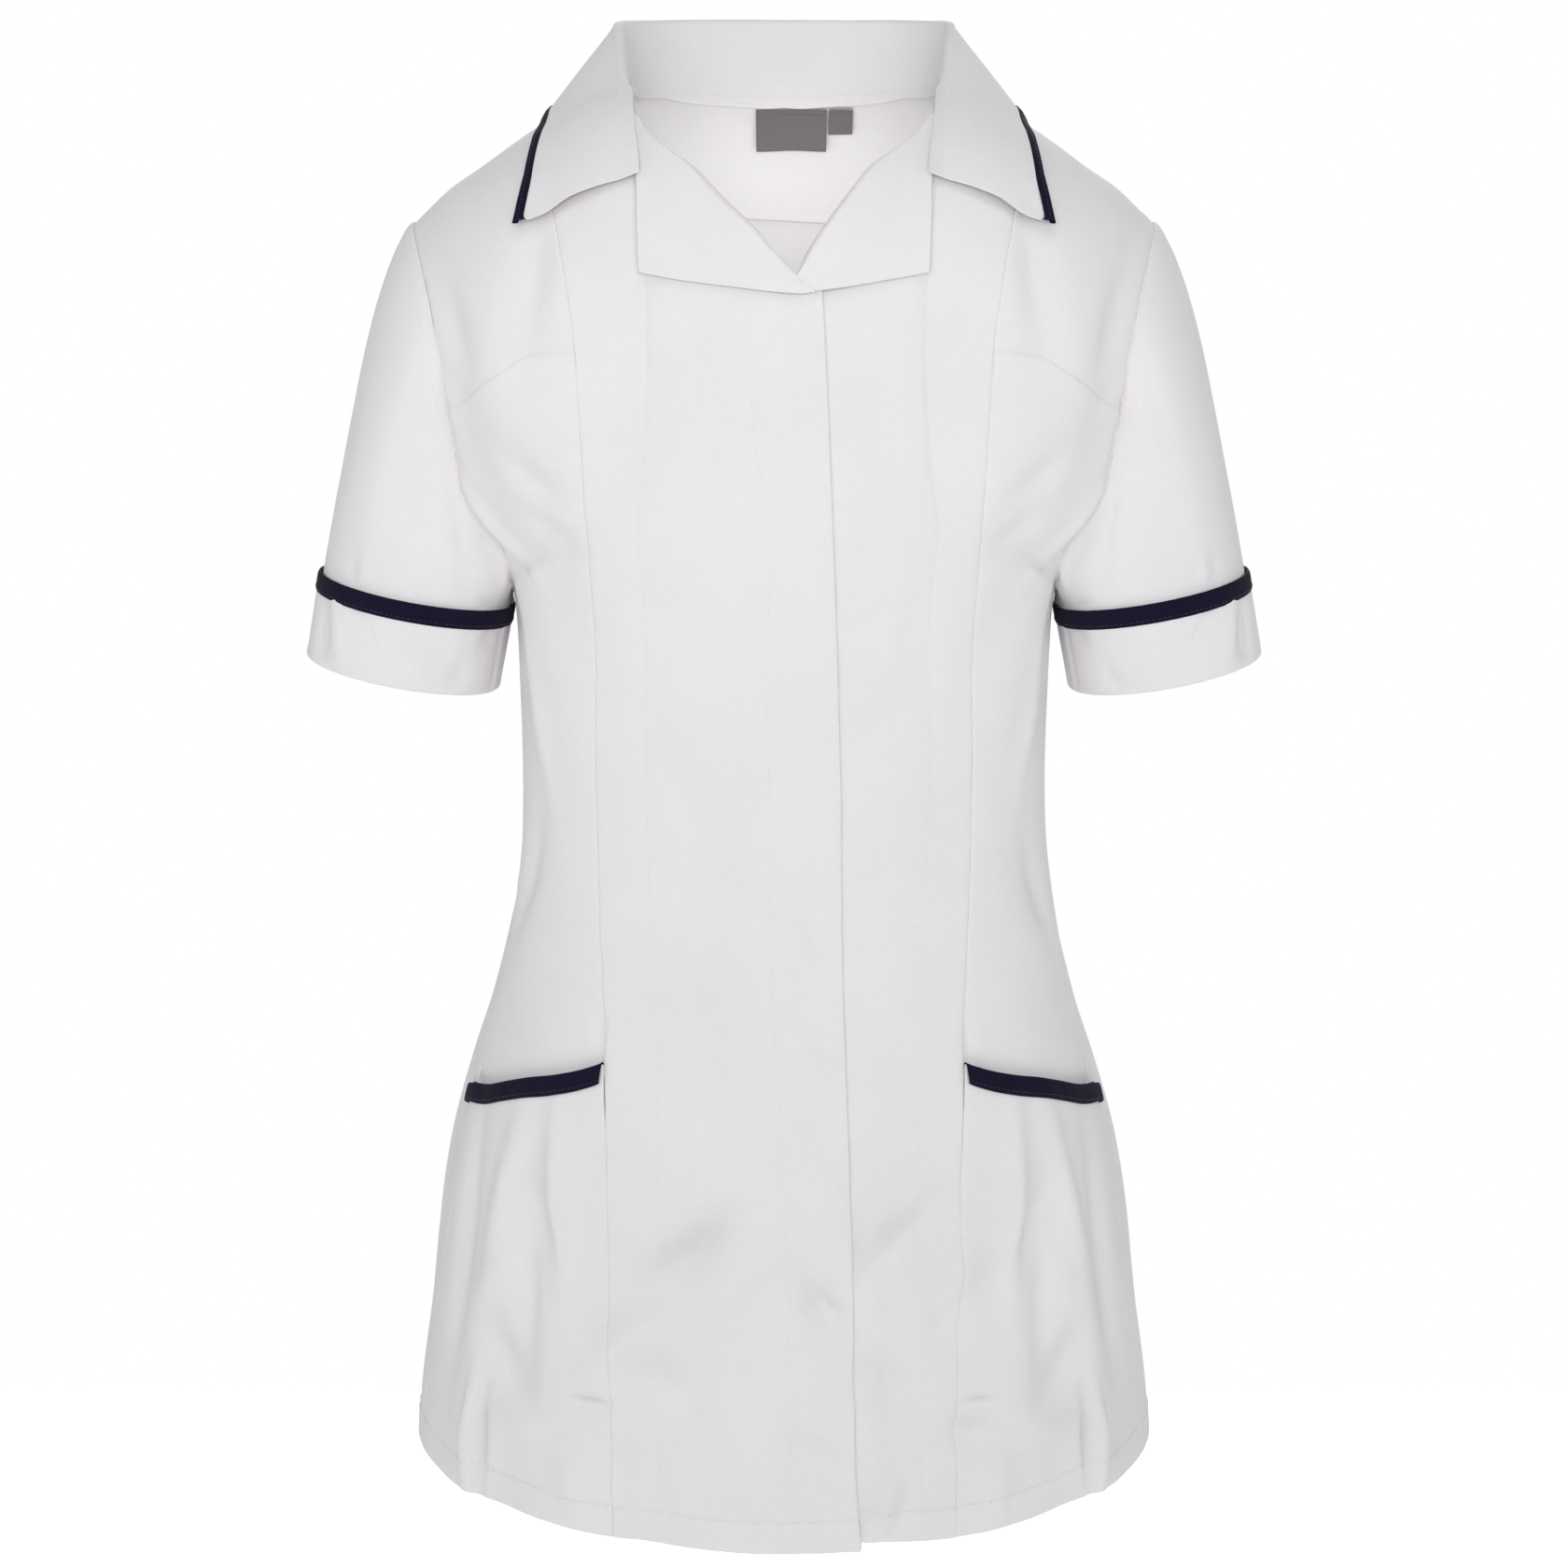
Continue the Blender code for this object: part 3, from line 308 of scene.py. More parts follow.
# Collar, from the centre back (share 0) to its front end (share 1).
# Columns: share, seam x y z, fold x y z, outer edge x y z
COLLAR = (
    (0.00, 0, 65, 0, 0, 68, 41, 0, 90, -20),
    (0.14, 30, 62, 0.9, 30, 65.5, 41, 36, 89, -20),
    (0.26, 55, 53, 3.2, 56, 56, 40.6, 70, 80, -19.5),
    (0.36, 72, 37, 7.5, 75, 37, 39.6, 100, 58, -17),
    (0.44, 79, 17, 11, 84, 18, 38.6, 115.5, 31, -12),
    (0.50, 80, -1, 11.5, 84, 2, 35.5, 120.5, 3, -7.5),
    (0.57, 79, -24, 8, 81, -24, 19.5, 122.4, -24, -13.5),
    (0.64, 77.5, -46, 2.5, 77, -50, 4.5, 124, -46, -22.5),
    (0.82, 73.5, -80, -17, 73.5, -84, -17, 128, -71, -41.5),
    (1.00, 71, -98, -35, 71, -101, -35, 131.5, -83, -59),
)

# Steps from an edge inwards, finest at the edge
SEAM_STEPS = (0.0, 0.3, 0.6, 1.0, 1.7, 2.8, 4.6)
FREE_STEPS = (0.0, 0.8, 2.0, 4.0)
HEM_STITCH = 16.0
HEM_STEPS = (0.0, 0.8, 2.4, 5.5, 9.0, 12.4, 14.6, 15.4, HEM_STITCH, 16.7, 17.6, 19.6)

# Stitches. Columns: length, gap, radius, distance off the cloth
HEM_THREAD = (2.5, 0.9, 0.22, 0.12)
FINE_THREAD = (2.0, 0.8, 0.17, 0.05)
TRIM_THREAD = (2.0, 0.8, 0.17, 0.06)

# Soft creases of the sleeve. Columns: turn, share of its length, half width in degrees, half length, depth
SLEEVE_CREASES = (
    (95, 0.55, 9, 0.28, -1.44),
    (128, 0.35, 8, 0.22, -1.92),
    (150, 0.5, 7, 0.3, 1.76),
    (60, 0.7, 12, 0.3, 1.12),
    (72, 0.25, 7, 0.2, -1.28),
    (20, 0.6, 14, 0.35, -1.12),
    (112, 0.86, 6, 0.12, 1.12),
    (84, 0.9, 6, 0.1, -0.96),
    (210, 0.4, 8, 0.26, -1.92),
    (236, 0.55, 9, 0.3, 1.44),
    (262, 0.4, 10, 0.26, -1.44),
    (300, 0.65, 12, 0.3, 1.12),
    (330, 0.5, 9, 0.24, -1.12),
    (184, 0.86, 9, 0.2, 1.6),
    (190, 0.4, 7, 0.16, -1.28),
    (52, 0.95, 4, 0.05, -1.2),
    (60, 0.94, 3.5, 0.06, 1),
    (68, 0.95, 3.5, 0.05, -1.3),
    (92, 0.96, 4, 0.05, -0.9),
    (140, 0.93, 5, 0.06, -1),
    (222, 0.94, 5, 0.06, -1.1),
    (252, 0.95, 4, 0.05, 0.9),
    (285, 0.94, 5, 0.05, -1),
    (330, 0.95, 5, 0.05, 1),
)

# Soft creases of the cuff. Columns: turn, distance down, half width in degrees, half height, lean in degrees
# for each 10 mm down, depth
CUFF_CREASES = (
    (36, 27, 7, 14, 2, -3.1),
    (50, 24, 6, 16, 4, 2),
    (71, 22, 5, 13, 7, -3.1),
    (86, 27, 5, 12, 7, -2.5),
    (100, 33, 7, 9, 5, 1.9),
    (126, 36, 8, 9, -4, -2),
    (146, 13, 7, 5, -4, -2.2),
    (215, 26, 8, 14, 4, -2.4),
    (250, 24, 8, 14, -3, 2),
    (290, 28, 8, 14, 3, -2.4),
    (325, 25, 8, 14, 3, 1.9),
)

# Relief of a seam: its stitched groove, the dip round that, the pressed allowance and the puckers
GROOVE_DEPTH, GROOVE_WIDTH = 0.85, 0.45
DIP_DEPTH, DIP_WIDTH = 0.22, 2.6
ALLOWANCE_WIDTH = 8.0
PUCKER_LENGTH, PUCKER_REACH = 9.0, 5.0
# Relief of the hem: its second layer, the ditch of its stitches and its puckers
HEM_LAYER, HEM_DITCH, HEM_PUCKER = 0.4, 0.3, 0.36

# Stitched line of the hidden closing: its distance from the front edge, and its top
PLACKET = 40.0
PLACKET_TOP_Z = -112.0
# Where the front edges start, below the roll lines. Columns: distance from the centre, height
FRONT_TOP_RIGHT = (-17.5, -88.0)
FRONT_TOP_LEFT = (-12.5, -97.0)
# Shares of a front's top edge: along the shoulder, along the roll line and down to the front edge
TOP_SPANS = (2, 9, 1)
# Spans of the sleeve's columns: in front above the bust seam, below it, and behind
ARMHOLE_SPANS = (6, 5, 11)

# The pocket's mouth: how far it stands off, over what height, and up to what distance from the centre
POCKET_PROUD, POCKET_PROUD_HEIGHT, POCKET_PROUD_X = 1.1, 70.0, 168.0
# Binding of the pocket. Columns: distance below the mouth, distance off the pocket
POCKET_TRIM_PROFILE = ((2.5, -1.4), (0.6, -1.5), (-0.7, -1.1), (-1.2, 0.0), (-0.7, 1.2), (0.4, 1.6),
                       (2.5, 1.7), (5.0, 1.65), (7.5, 1.65), (8.9, 1.5), (9.5, 1.0), (9.6, 0.4))
# Binding of the cuff. Columns: distance down, distance off the sleeve
CUFF_TRIM_PROFILE = ((2.0, 0.75), (0.6, 0.8), (-0.3, 1.1), (-0.6, 1.7), (-0.2, 2.3), (0.8, 2.65), (2.5, 2.75),
                     (5.0, 2.7), (7.6, 2.7), (8.9, 2.6), (9.5, 2.2), (9.6, 1.6))
# The rows that carry the stitches: of both bindings, and of the labels, the collar and its binding
TRIM_STITCH_ROW, EDGE_STITCH_ROW = 8, 3
# The cuff's lower edge, turned up inside. Columns: distance above the edge, distance off the sleeve
CUFF_TURN = ((1.6, 1.95), (0.7, 1.65), (0.15, 1.05), (0.0, 0.3), (0.15, -0.5), (0.7, -1.1), (1.7, -1.4),
             (4.0, -1.5), (9.0, -1.5))
# How many rows of the cuff lie on its outside, and the turn of the seam along its inner side
CUFF_OUTER_ROWS = 15
CUFF_SEAM_TURN = 158
# How far the sleeve's first row lies inside the armhole
SLEEVE_LAP = 0.9

# Binding of the collar. Columns: share of the binding's own width, distance added, distance off the leaf
COLLAR_TRIM_PROFILE = ((1, 0.0, 0.1), (1, -0.3, 0.55), (1, -1.2, 0.75), (1, -3.0, 0.75), (0, 1.5, 0.7),
                       (0, 0.5, 0.5), (0, 0.0, 0.0), (0, 0.2, -0.7), (0, 1.0, -1.1), (0, 3.0, -1.2))
# Shares of the collar's half over which its fold flattens and turns sideways, the tuck of its stand below the
# neck seam deepens and ends, and the stand joins the fold
FOLD_FLATTENS = (0.53, 0.70)
FOLD_TURNS = (0.5, 0.64)
TUCK_DEEPENS = (0.29, 0.43)
TUCK_ENDS = (0.43, 0.55)
STAND_JOINS = (0.55, 0.63)
# The tuck's depth at the centre back, and what is added towards the sides
TUCK_DEPTH, TUCK_MORE = 4.6, 5.0
# Radius of the fold, its number of rows and how far they reach where it lies flat
FOLD_RADIUS, FOLD_ROWS, FOLD_REACH = 2.3, 9, 5.2
# Rows of the stand, as shares of its height
STAND_SHARES = (0.0, 0.02, 0.045, 0.1, 0.25, 0.4, 0.55, 0.7, 0.85, 0.95)
# How far the parts of the collar stay off the body, and how full its rolled leaf is
COLLAR_CLEAR, COLLAR_CLEAR_MORE, LEAF_FULLNESS = 3.4, 2.0, 1.6
# The short end of the collar bows in near the fold and out near the tip
END_BOW_IN, END_BOW_OUT = 0.2, 2.0
# Share at which the rounded corner of the collar begins, and how much wider its binding gets there
COLLAR_CORNER_SHARE, COLLAR_CORNER_MORE = 0.965, 2.4

# Labels in the back neck. Columns: name, left side, right side, bottom
LABELS = (("neck_label", -14.7, 22.5, -22.6), ("size_tab", 24.0, 36.5, -13.6))
LABEL_TOP_Z = -1.2
# Their distance inside the back at their tops, and how much farther they hang for each millimetre down
LABEL_INSIDE, LABEL_HANG = 5.1, 0.075
# Gap between the back and its facing
FACING_INSIDE = 1.3

# Rings of one stitch. Columns: place along its length, share of its radius, height in radii
STITCH_RINGS = ((-0.5, 0.35, -0.5), (-0.42, 0.9, 0.0), (0.0, 1.1, 0.35), (0.42, 0.9, 0.0), (0.5, 0.35, -0.5))
STITCH_SIDES = 6

# Lamps, in metres and watts. Columns: name, place, what it faces, size, power, whether the camera may see it
LAMPS = (
    ("key", (-0.9, -1.35, 0.3), (0, 0, -0.3), (0.5, 0.5), 2.5, True),
    ("fill", (0.9, -1.35, 0.3), (0, 0, -0.3), (0.5, 0.5), 1.9, True),
    ("front", (0.0, -1.35, 0.1), (0, 0, -0.3), (0.9, 0.3), 6.7, True),
    ("right side", (-1.3, -0.2, 0.1), (0, 0, -0.3), (0.6, 0.6), 2.9, True),
    ("left side", (1.3, -0.2, 0.1), (0, 0, -0.3), (0.6, 0.6), 2.9, True),
    ("top", (0.0, -0.9, 1.3), (0, 0, -0.1), (1.2, 0.8), 4.1, True),
    ("rear", (0.3, 2.6, 1.2), (0, 0, -0.3), (2.0, 1.6), 46.0, True),
    ("neck", (0.0, 0.02, -0.06), (0.0, 0.09, -0.06), (0.15, 0.03), 0.028, False),
    ("neck right", (0.03, -0.01, -0.12), (-0.06, 0.05, -0.01), (0.04, 0.04), 0.016, False),
    ("neck left", (-0.03, -0.01, -0.12), (0.06, 0.05, -0.01), (0.04, 0.04), 0.016, False),
)
# Camera and floor, in metres, millimetres of lens and degrees
CAMERA_PLACE = (0.0, -1.581, -0.018)
CAMERA_PITCH = 78.0
CAMERA_LENS = 70.0
FLOOR_HALF, FLOOR_Z = 1.6, -1.38
SURROUNDING_LIGHT = 0.28


def spline(table, at, column=1):
    """Smooth values of one column of a table, keyed by its first column."""
    rows = sorted(table)
    keys = np.array([row[0] for row in rows], float)
    values = np.array([row[column] for row in rows], float)
    at = np.asarray(at, float)
    last = len(keys) - 1
    high = np.minimum(np.arange(last + 1) + 1, last)
    low = np.maximum(np.arange(last + 1) - 1, 0)
    slopes = (values[high] - values[low]) / (keys[high] - keys[low])
    left = np.clip(np.searchsorted(keys, at, side="right") - 1, 0, last - 1)
    span = keys[left + 1] - keys[left]
    f = np.clip((at - keys[left]) / span, 0.0, 1.0)
    start = (1 + 2 * f) * (1 - f) ** 2 * values[left] + f * (1 - f) ** 2 * span * slopes[left]
    end = f * f * (3 - 2 * f) * values[left + 1] + f * f * (f - 1) * span * slopes[left + 1]
    beyond = np.minimum(at - keys[0], 0.0) * slopes[0] + np.maximum(at - keys[last], 0.0) * slopes[last]
    return start + end + beyond


def ease(low, high, at):
    """0 below low, 1 above high, smooth between."""
    f = np.clip((np.asarray(at, float) - low) / (high - low), 0.0, 1.0)
    return f * f * (3 - 2 * f)


def unit(vectors):
    """Vectors of length 1."""
    return vectors / np.maximum(np.linalg.norm(vectors, axis=-1, keepdims=True), 1e-9)


def ridge(x):
    """Height of the shoulder line."""
    return spline(RIDGE, np.abs(x))


def wrapped(angle):
    """The same angle between -180 and 180 degrees."""
    return (np.asarray(angle, float) + 180.0) % 360.0 - 180.0


def relief(angle, z, table):
    """How far the folds of a table move the cloth outwards."""
    total = np.zeros(np.broadcast(angle, z).shape)
    for centre, height, half_width, half_height, lean, depth in table:
        across = wrapped(angle - centre - lean * (height - z) / 100.0) / half_width
        along = (z - height) / half_height
        total += depth * np.exp(-across * across - along * along)
    return total


def smooth_body(angle, z):
    """Points of the body cloth without folds. The angle is 0 at centre front and 180 at centre back."""
    angle, z = np.broadcast_arrays(wrapped(angle), np.asarray(z, float))
    behind = np.abs(angle) > 90.0
    turn = np.radians(np.where(behind, 180.0 - np.abs(angle), np.abs(angle)))
    power = 2.0 / spline(SECTIONS, z, SQUARENESS)
    x = np.sign(angle) * spline(SECTIONS, z, HALF_WIDTH) * np.sin(turn) ** power
    depth = np.where(behind, spline(SECTIONS, z, BACK_DEPTH), -spline(SECTIONS, z, FRONT_DEPTH))
    below = np.clip((ridge(x) - z - SHOULDER_SNAP) / SHOULDER_ROUND, 0.0, 1.0)
    share = np.sqrt(1 - (1 - below) ** 2)
    y = SHOULDER_Y * (1 - share) + depth * np.maximum(np.cos(turn), 0.0) ** power * share
    return np.stack([x, y, z], axis=-1)


def body_normal(angle, z):
    """Outward directions of the body cloth."""
    point = smooth_body(angle, z)
    step = 0.05
    around = smooth_body(angle + step, z) - smooth_body(angle - step, z)
    down = smooth_body(angle, z - step) - smooth_body(angle, z + step)
    normal = unit(np.cross(down, around))
    x = np.abs(point[..., 0])
    slope = (ridge(x + 1) - ridge(x - 1)) / 2
    level = unit(np.stack([-slope * np.sign(point[..., 0]), 0 * x, 1 + 0 * x], axis=-1))
    return np.where((ridge(x) - point[..., 2] < 0.6)[..., None], level, normal)


def body(angle, z, out=0.0):
    """Points of the body cloth with its folds, moved out by a distance, with outward directions."""
    normal = body_normal(angle, z)
    off = out + relief(angle, z, FOLDS) + relief(angle, z, CREASES)
    return smooth_body(angle, z) + normal * np.asarray(off)[..., None], normal


def angle_at(x, z, behind=False):
    """Angle of the body point at a distance from the centre."""
    x = np.asarray(x, float)
    power = spline(SECTIONS, z, SQUARENESS) / 2
    sine = np.minimum(np.abs(x) / spline(SECTIONS, z, HALF_WIDTH), 1.0) ** power
    angle = np.degrees(np.arcsin(np.minimum(sine, 1.0)))
    return np.where(x < 0, -1.0, 1.0) * (180.0 - angle if behind else angle)


def pairs(angle, z):
    """An array of (angle, z) rows."""
    return np.stack(np.broadcast_arrays(np.asarray(angle, float), np.asarray(z, float)), axis=-1)


def dense(table, behind=False, count=240):
    """(angle, z) points of a table of (distance, height) rows, in the order of its rows."""
    x = np.linspace(table[0][0], table[-1][0], count + 1)
    z = spline(table, x)
    return pairs(angle_at(x, z, behind), z)


def ridge_line(start, end, behind=False, count=120):
    """(angle, z) points of the shoulder line between two distances from the centre."""
    x = np.linspace(start, end, count + 1)
    return pairs(angle_at(x, ridge(x), behind), ridge(x))


def side_line(top, bottom, count=200):
    """(angle, z) points of the side seam."""
    z = np.linspace(top, bottom, count + 1)
    return pairs(spline(SIDE_SEAM, z), z)


def princess_line(top, bottom, count=240):
    """(angle, z) points of the princess seam."""
    z = np.linspace(top, bottom, count + 1)
    return pairs(angle_at(spline(PRINCESS, z), z), z)


def armhole_line(table, behind, top, bottom, count=400):
    """(angle, z) points of one side of the armhole, from the shoulder down."""
    shoulder_z = float(ridge(SHOULDER_X))
    rows = table + ((shoulder_z, float(angle_at(SHOULDER_X, shoulder_z))),)
    z = top + (bottom - top) * np.sin(math.pi / 2 * np.linspace(0, 1, count + 1)) ** 1.5
    angle = np.minimum(spline(rows, z), 90.0)
    return pairs(180.0 - angle if behind else angle, z)


def lengths_along(points):
    """Distance of each point of a line from its start; the points' axis is the last but one."""
    steps = np.linalg.norm(np.diff(points, axis=-2), axis=-1)
    start = np.zeros(steps.shape[:-1] + (1,))
    return np.concatenate([start, np.cumsum(steps, axis=-1)], axis=-1)


def by_length(line):
    """An edge that is read by its share of real length."""
    keys = lengths_along(smooth_body(line[:, 0], line[:, 1]))
    return keys / keys[-1], line


def by_height(line):
    """An edge that is read by its share of height."""
    return (line[0, 1] - line[:, 1]) / (line[0, 1] - line[-1, 1]), line


def read(edge, share):
    """(angle, z) points of an edge at some shares."""
    keys, line = edge
    return np.stack([np.interp(share, keys, line[:, k]) for k in (0, 1)], axis=-1)


def joined(lines, spans):
    """An edge of several lines in a row, each with its own number of equal spans."""
    keys, start = [], 0.0
    for line, span in zip(lines, spans):
        share, _ = by_length(line)
        keys.append((start + share * span) / sum(spans))
        start += span
    return np.concatenate(keys), np.concatenate(lines)


def patch(edges, across, down):
    """(angle, z) points between four edges; both arguments are arrays of shares."""
    top, bottom, left, right = edges
    u, v = across[..., None], down[..., None]
    sides = (1 - u) * read(left, down) + u * read(right, down)
    ends = (1 - v) * read(top, across) + v * read(bottom, across)
    zero, one = np.zeros(1), np.ones(1)
    upper = (1 - u) * read(top, zero) + u * read(top, one)
    lower = (1 - u) * read(bottom, zero) + u * read(bottom, one)
    return sides + ends - (1 - v) * upper - v * lower


def stations(length, step, first, last):
    """Shares along lines of some lengths: fine steps at both ends and even ones between."""
    length = np.asarray(length, float)[:, None]
    first, last = np.array(first), np.array(last)
    count = max(int(round((length.max() - first[-1] - last[-1]) / step)), 2)
    squeeze = np.minimum(1.0, 0.6 * length / (first[-1] + last[-1]))
    head = first[None] * squeeze
    tail = length - last[None, ::-1] * squeeze
    between = np.linspace(0, 1, count + 1)[None, 1:-1]
    middle = head[:, -1:] + (tail[:, :1] - head[:, -1:]) * between
    return np.concatenate([head, middle, tail], axis=1) / length


def fine_grid(edges, step, rows_first, rows_last, columns_first, columns_last):
    """(angle, z) grid of a panel with rows running down, and fine steps at its edges."""
    coarse = np.linspace(0, 1, 25)
    u, v = np.meshgrid(coarse, coarse)
    flat = patch(edges, u, v)
    places = smooth_body(flat[..., 0], flat[..., 1])
    widths = lengths_along(places)[:, -1]
    heights = lengths_along(places.transpose(1, 0, 2))[:, -1]
    rows = stations(np.array([heights.max()]), step, rows_first, rows_last)[0]
    row_widths = np.interp(rows, coarse, widths)
    across = stations(row_widths, step, columns_first, columns_last)
    column_heights = np.interp(across.mean(axis=0), coarse, heights)
    down = stations(column_heights, step * heights.max() / column_heights.max(), rows_first, rows_last)
    # Lines whose own count of rows came out differently are divided evenly
    if down.shape[1] != len(rows):
        down = np.repeat(rows[None], across.shape[1], axis=0)
    return patch(edges, across, down.T)


def wave(along, length, phase=0.0):
    """Uneven ripples along a seam, between about -1 and 1."""
    turn = 2 * math.pi * along
    drift = 1.3 * np.sin(turn / (length * 5.3) + phase) + 0.8 * np.sin(turn / (length * 2.9) + 2.1 * phase)
    swell = 0.55 + 0.45 * np.sin(turn / (length * 7.7) + 1.7 + phase)
    return np.sin(turn / length + drift + phase) * swell


def wobble(points):
    """Slow unevenness of the cloth, in millimetres."""
    x, y, z = points[..., 0], points[..., 1], points[..., 2]
    slow = np.sin(x / 23.0 + 1.7 * np.sin(z / 61.0) + y / 37.0) * np.sin(z / 31.0 + 1.1 * np.sin(x / 43.0))
    quick = np.sin(x / 9.1 + z / 17.0 + 2.0 * np.sin(z / 29.0))
    quick = quick * np.sin(z / 12.3 - y / 11.0 + 1.3 * np.sin(x / 15.0))
    return 0.22 * slow + 0.07 * quick


def seam(distance, along, pucker=0.2, raised=0.0, phase=0.0, deep=1.0):
    """Relief beside a seam: a fine groove, the pressed seam allowance and small puckers."""
    uneven = deep * (0.62 + 0.38 * wave(along, 37.0, phase + 1.0))
    dip = DIP_DEPTH * np.exp(-(distance / DIP_WIDTH) ** 2)
    groove = -uneven * (GROOVE_DEPTH * np.exp(-(distance / GROOVE_WIDTH) ** 2) + dip)
    pressed = ease(ALLOWANCE_WIDTH + 1.5, ALLOWANCE_WIDTH - 1.5, distance) * ease(0.3, 1.6, distance)
    ripples = pucker * np.exp(-distance / PUCKER_REACH) * wave(along, PUCKER_LENGTH, phase)
    return groove + raised * pressed + ripples * ease(0.0, 1.2, distance)


def hem(distance, along, phase=0.0):
    """Relief of a stitched hem: a second layer below the stitches, and puckers at them."""
    layer = HEM_LAYER * ease(HEM_STITCH + 1.2, HEM_STITCH - 1.2, distance)
    ditch = -HEM_DITCH * np.exp(-((distance - HEM_STITCH) / 1.1) ** 2)
    near = np.exp(-((distance - HEM_STITCH + 3) / 8.0) ** 2)
    return layer + ditch + HEM_PUCKER * near * wave(along, 11.0, phase)


Distances = namedtuple("Distances", "top bottom left right across down")


def edge_distances(points):
    """Distances of a grid's points from its four edges, along its rows (across) and its columns (down)."""
    across = lengths_along(points)
    down = lengths_along(points.transpose(1, 0, 2)).T
    return Distances(down, down[-1:] - down, across, across[:, -1:] - across, across, down)


def new_object(name, data):
    """An object in the scene."""
    made = bpy.data.objects.new(name, data)
    bpy.context.scene.collection.objects.link(made)
    return made


def new_mesh(name, points, faces, cloth=None):
    """An object made of points in millimetres, with places on the cloth as an attribute."""
    mesh = bpy.data.meshes.new(name)
    mesh.from_pydata((np.asarray(points) * MM).tolist(), [], faces.tolist())
    mesh.validate()
    if cloth is not None:
        layer = mesh.attributes.new("cloth", "FLOAT_VECTOR", "POINT")
        places = np.concatenate([cloth * MM, np.zeros((len(cloth), 1))], axis=1)
        layer.data.foreach_set("vector", places.astype(np.float32).ravel())
    mesh.shade_smooth()
    return new_object(name, mesh)


def quads(first, second, third, fourth):
    """Faces from four arrays of corner numbers."""
    return np.stack([first.ravel(), second.ravel(), third.ravel(), fourth.ravel()], axis=1)


def shell(name, outer, normals, thickness=CLOTH, closed=False):
    """A closed thin wall behind a grid of points, with rounded edges. A closed grid runs round a tube."""
    rows, columns = outer.shape[:2]
    thick = np.broadcast_to(np.asarray(thickness, float), (rows, columns))[..., None]
    inner = outer - normals * thick
    numbers = np.arange(rows * columns).reshape(rows, columns)
    if closed:
        numbers = np.concatenate([numbers, numbers[:, :1]], axis=1)
        loops = [(numbers[0, :-1], numbers[1, :-1]), (numbers[-1, :-1][::-1], numbers[-2, :-1][::-1])]
    else:
        ring = np.concatenate([numbers[0, :-1], numbers[:-1, -1], numbers[-1, :0:-1], numbers[:0:-1, 0]])
        inward = np.concatenate([numbers[1, :-1], numbers[:-1, -2], numbers[-2, :0:-1], numbers[:0:-1, 1]])
        loops = [(ring, inward)]
    a, b, c, d = numbers[:-1, :-1], numbers[1:, :-1], numbers[1:, 1:], numbers[:-1, 1:]
    behind = rows * columns
    faces = [quads(a, b, c, d), quads(a + behind, d + behind, c + behind, b + behind)]
    flat_outer, flat_inner, flat_thick = outer.reshape(-1, 3), inner.reshape(-1, 3), thick.reshape(-1, 1)
    points = [flat_outer, flat_inner]
    distances = edge_distances(outer)
    cloth = np.stack([distances.across.ravel(), distances.down.ravel()], axis=1)
    places = [cloth, cloth]
    total = 2 * behind
    for line, inward in loops:
        away = unit(flat_outer[line] - flat_outer[inward])
        points.append((flat_outer[line] + flat_inner[line]) / 2 + away * flat_thick[line] * RIM_ROUND)
        places.append(cloth[line])
        middle = total + np.arange(len(line))
        following = np.roll(line, -1)
        middle_next = np.roll(middle, -1)
        faces.append(quads(line, following, middle_next, middle))
        faces.append(quads(middle, middle_next, following + behind, line + behind))
        total += len(line)
    faces = np.concatenate(faces)
    turned = np.cross(outer[1:, :-1] - outer[:-1, :-1], outer[:-1, 1:] - outer[:-1, :-1])
    if (turned * normals[:-1, :-1]).sum() < 0:
        faces = faces[:, ::-1]
    return new_mesh(name, np.concatenate(points), faces, np.concatenate(places))


def grid_normals(points, closed=False):
    """Normals of a grid from its neighbours, towards across x down."""
    if closed:
        around = np.roll(points, -1, axis=1) - np.roll(points, 1, axis=1)
    else:
        around = np.gradient(points, axis=1)
    down = np.gradient(points, axis=0)
    return unit(np.cross(around, down))


def mirrored(points, side):
    """The points on the wearer's left (side 1) or right (side -1)."""
    return points * np.array((side, 1.0, 1.0))


def oriented(normals, towards):
    """Normals flipped as a whole to agree with others on the visible face."""
    return normals if (normals * towards).sum() > 0 else -normals


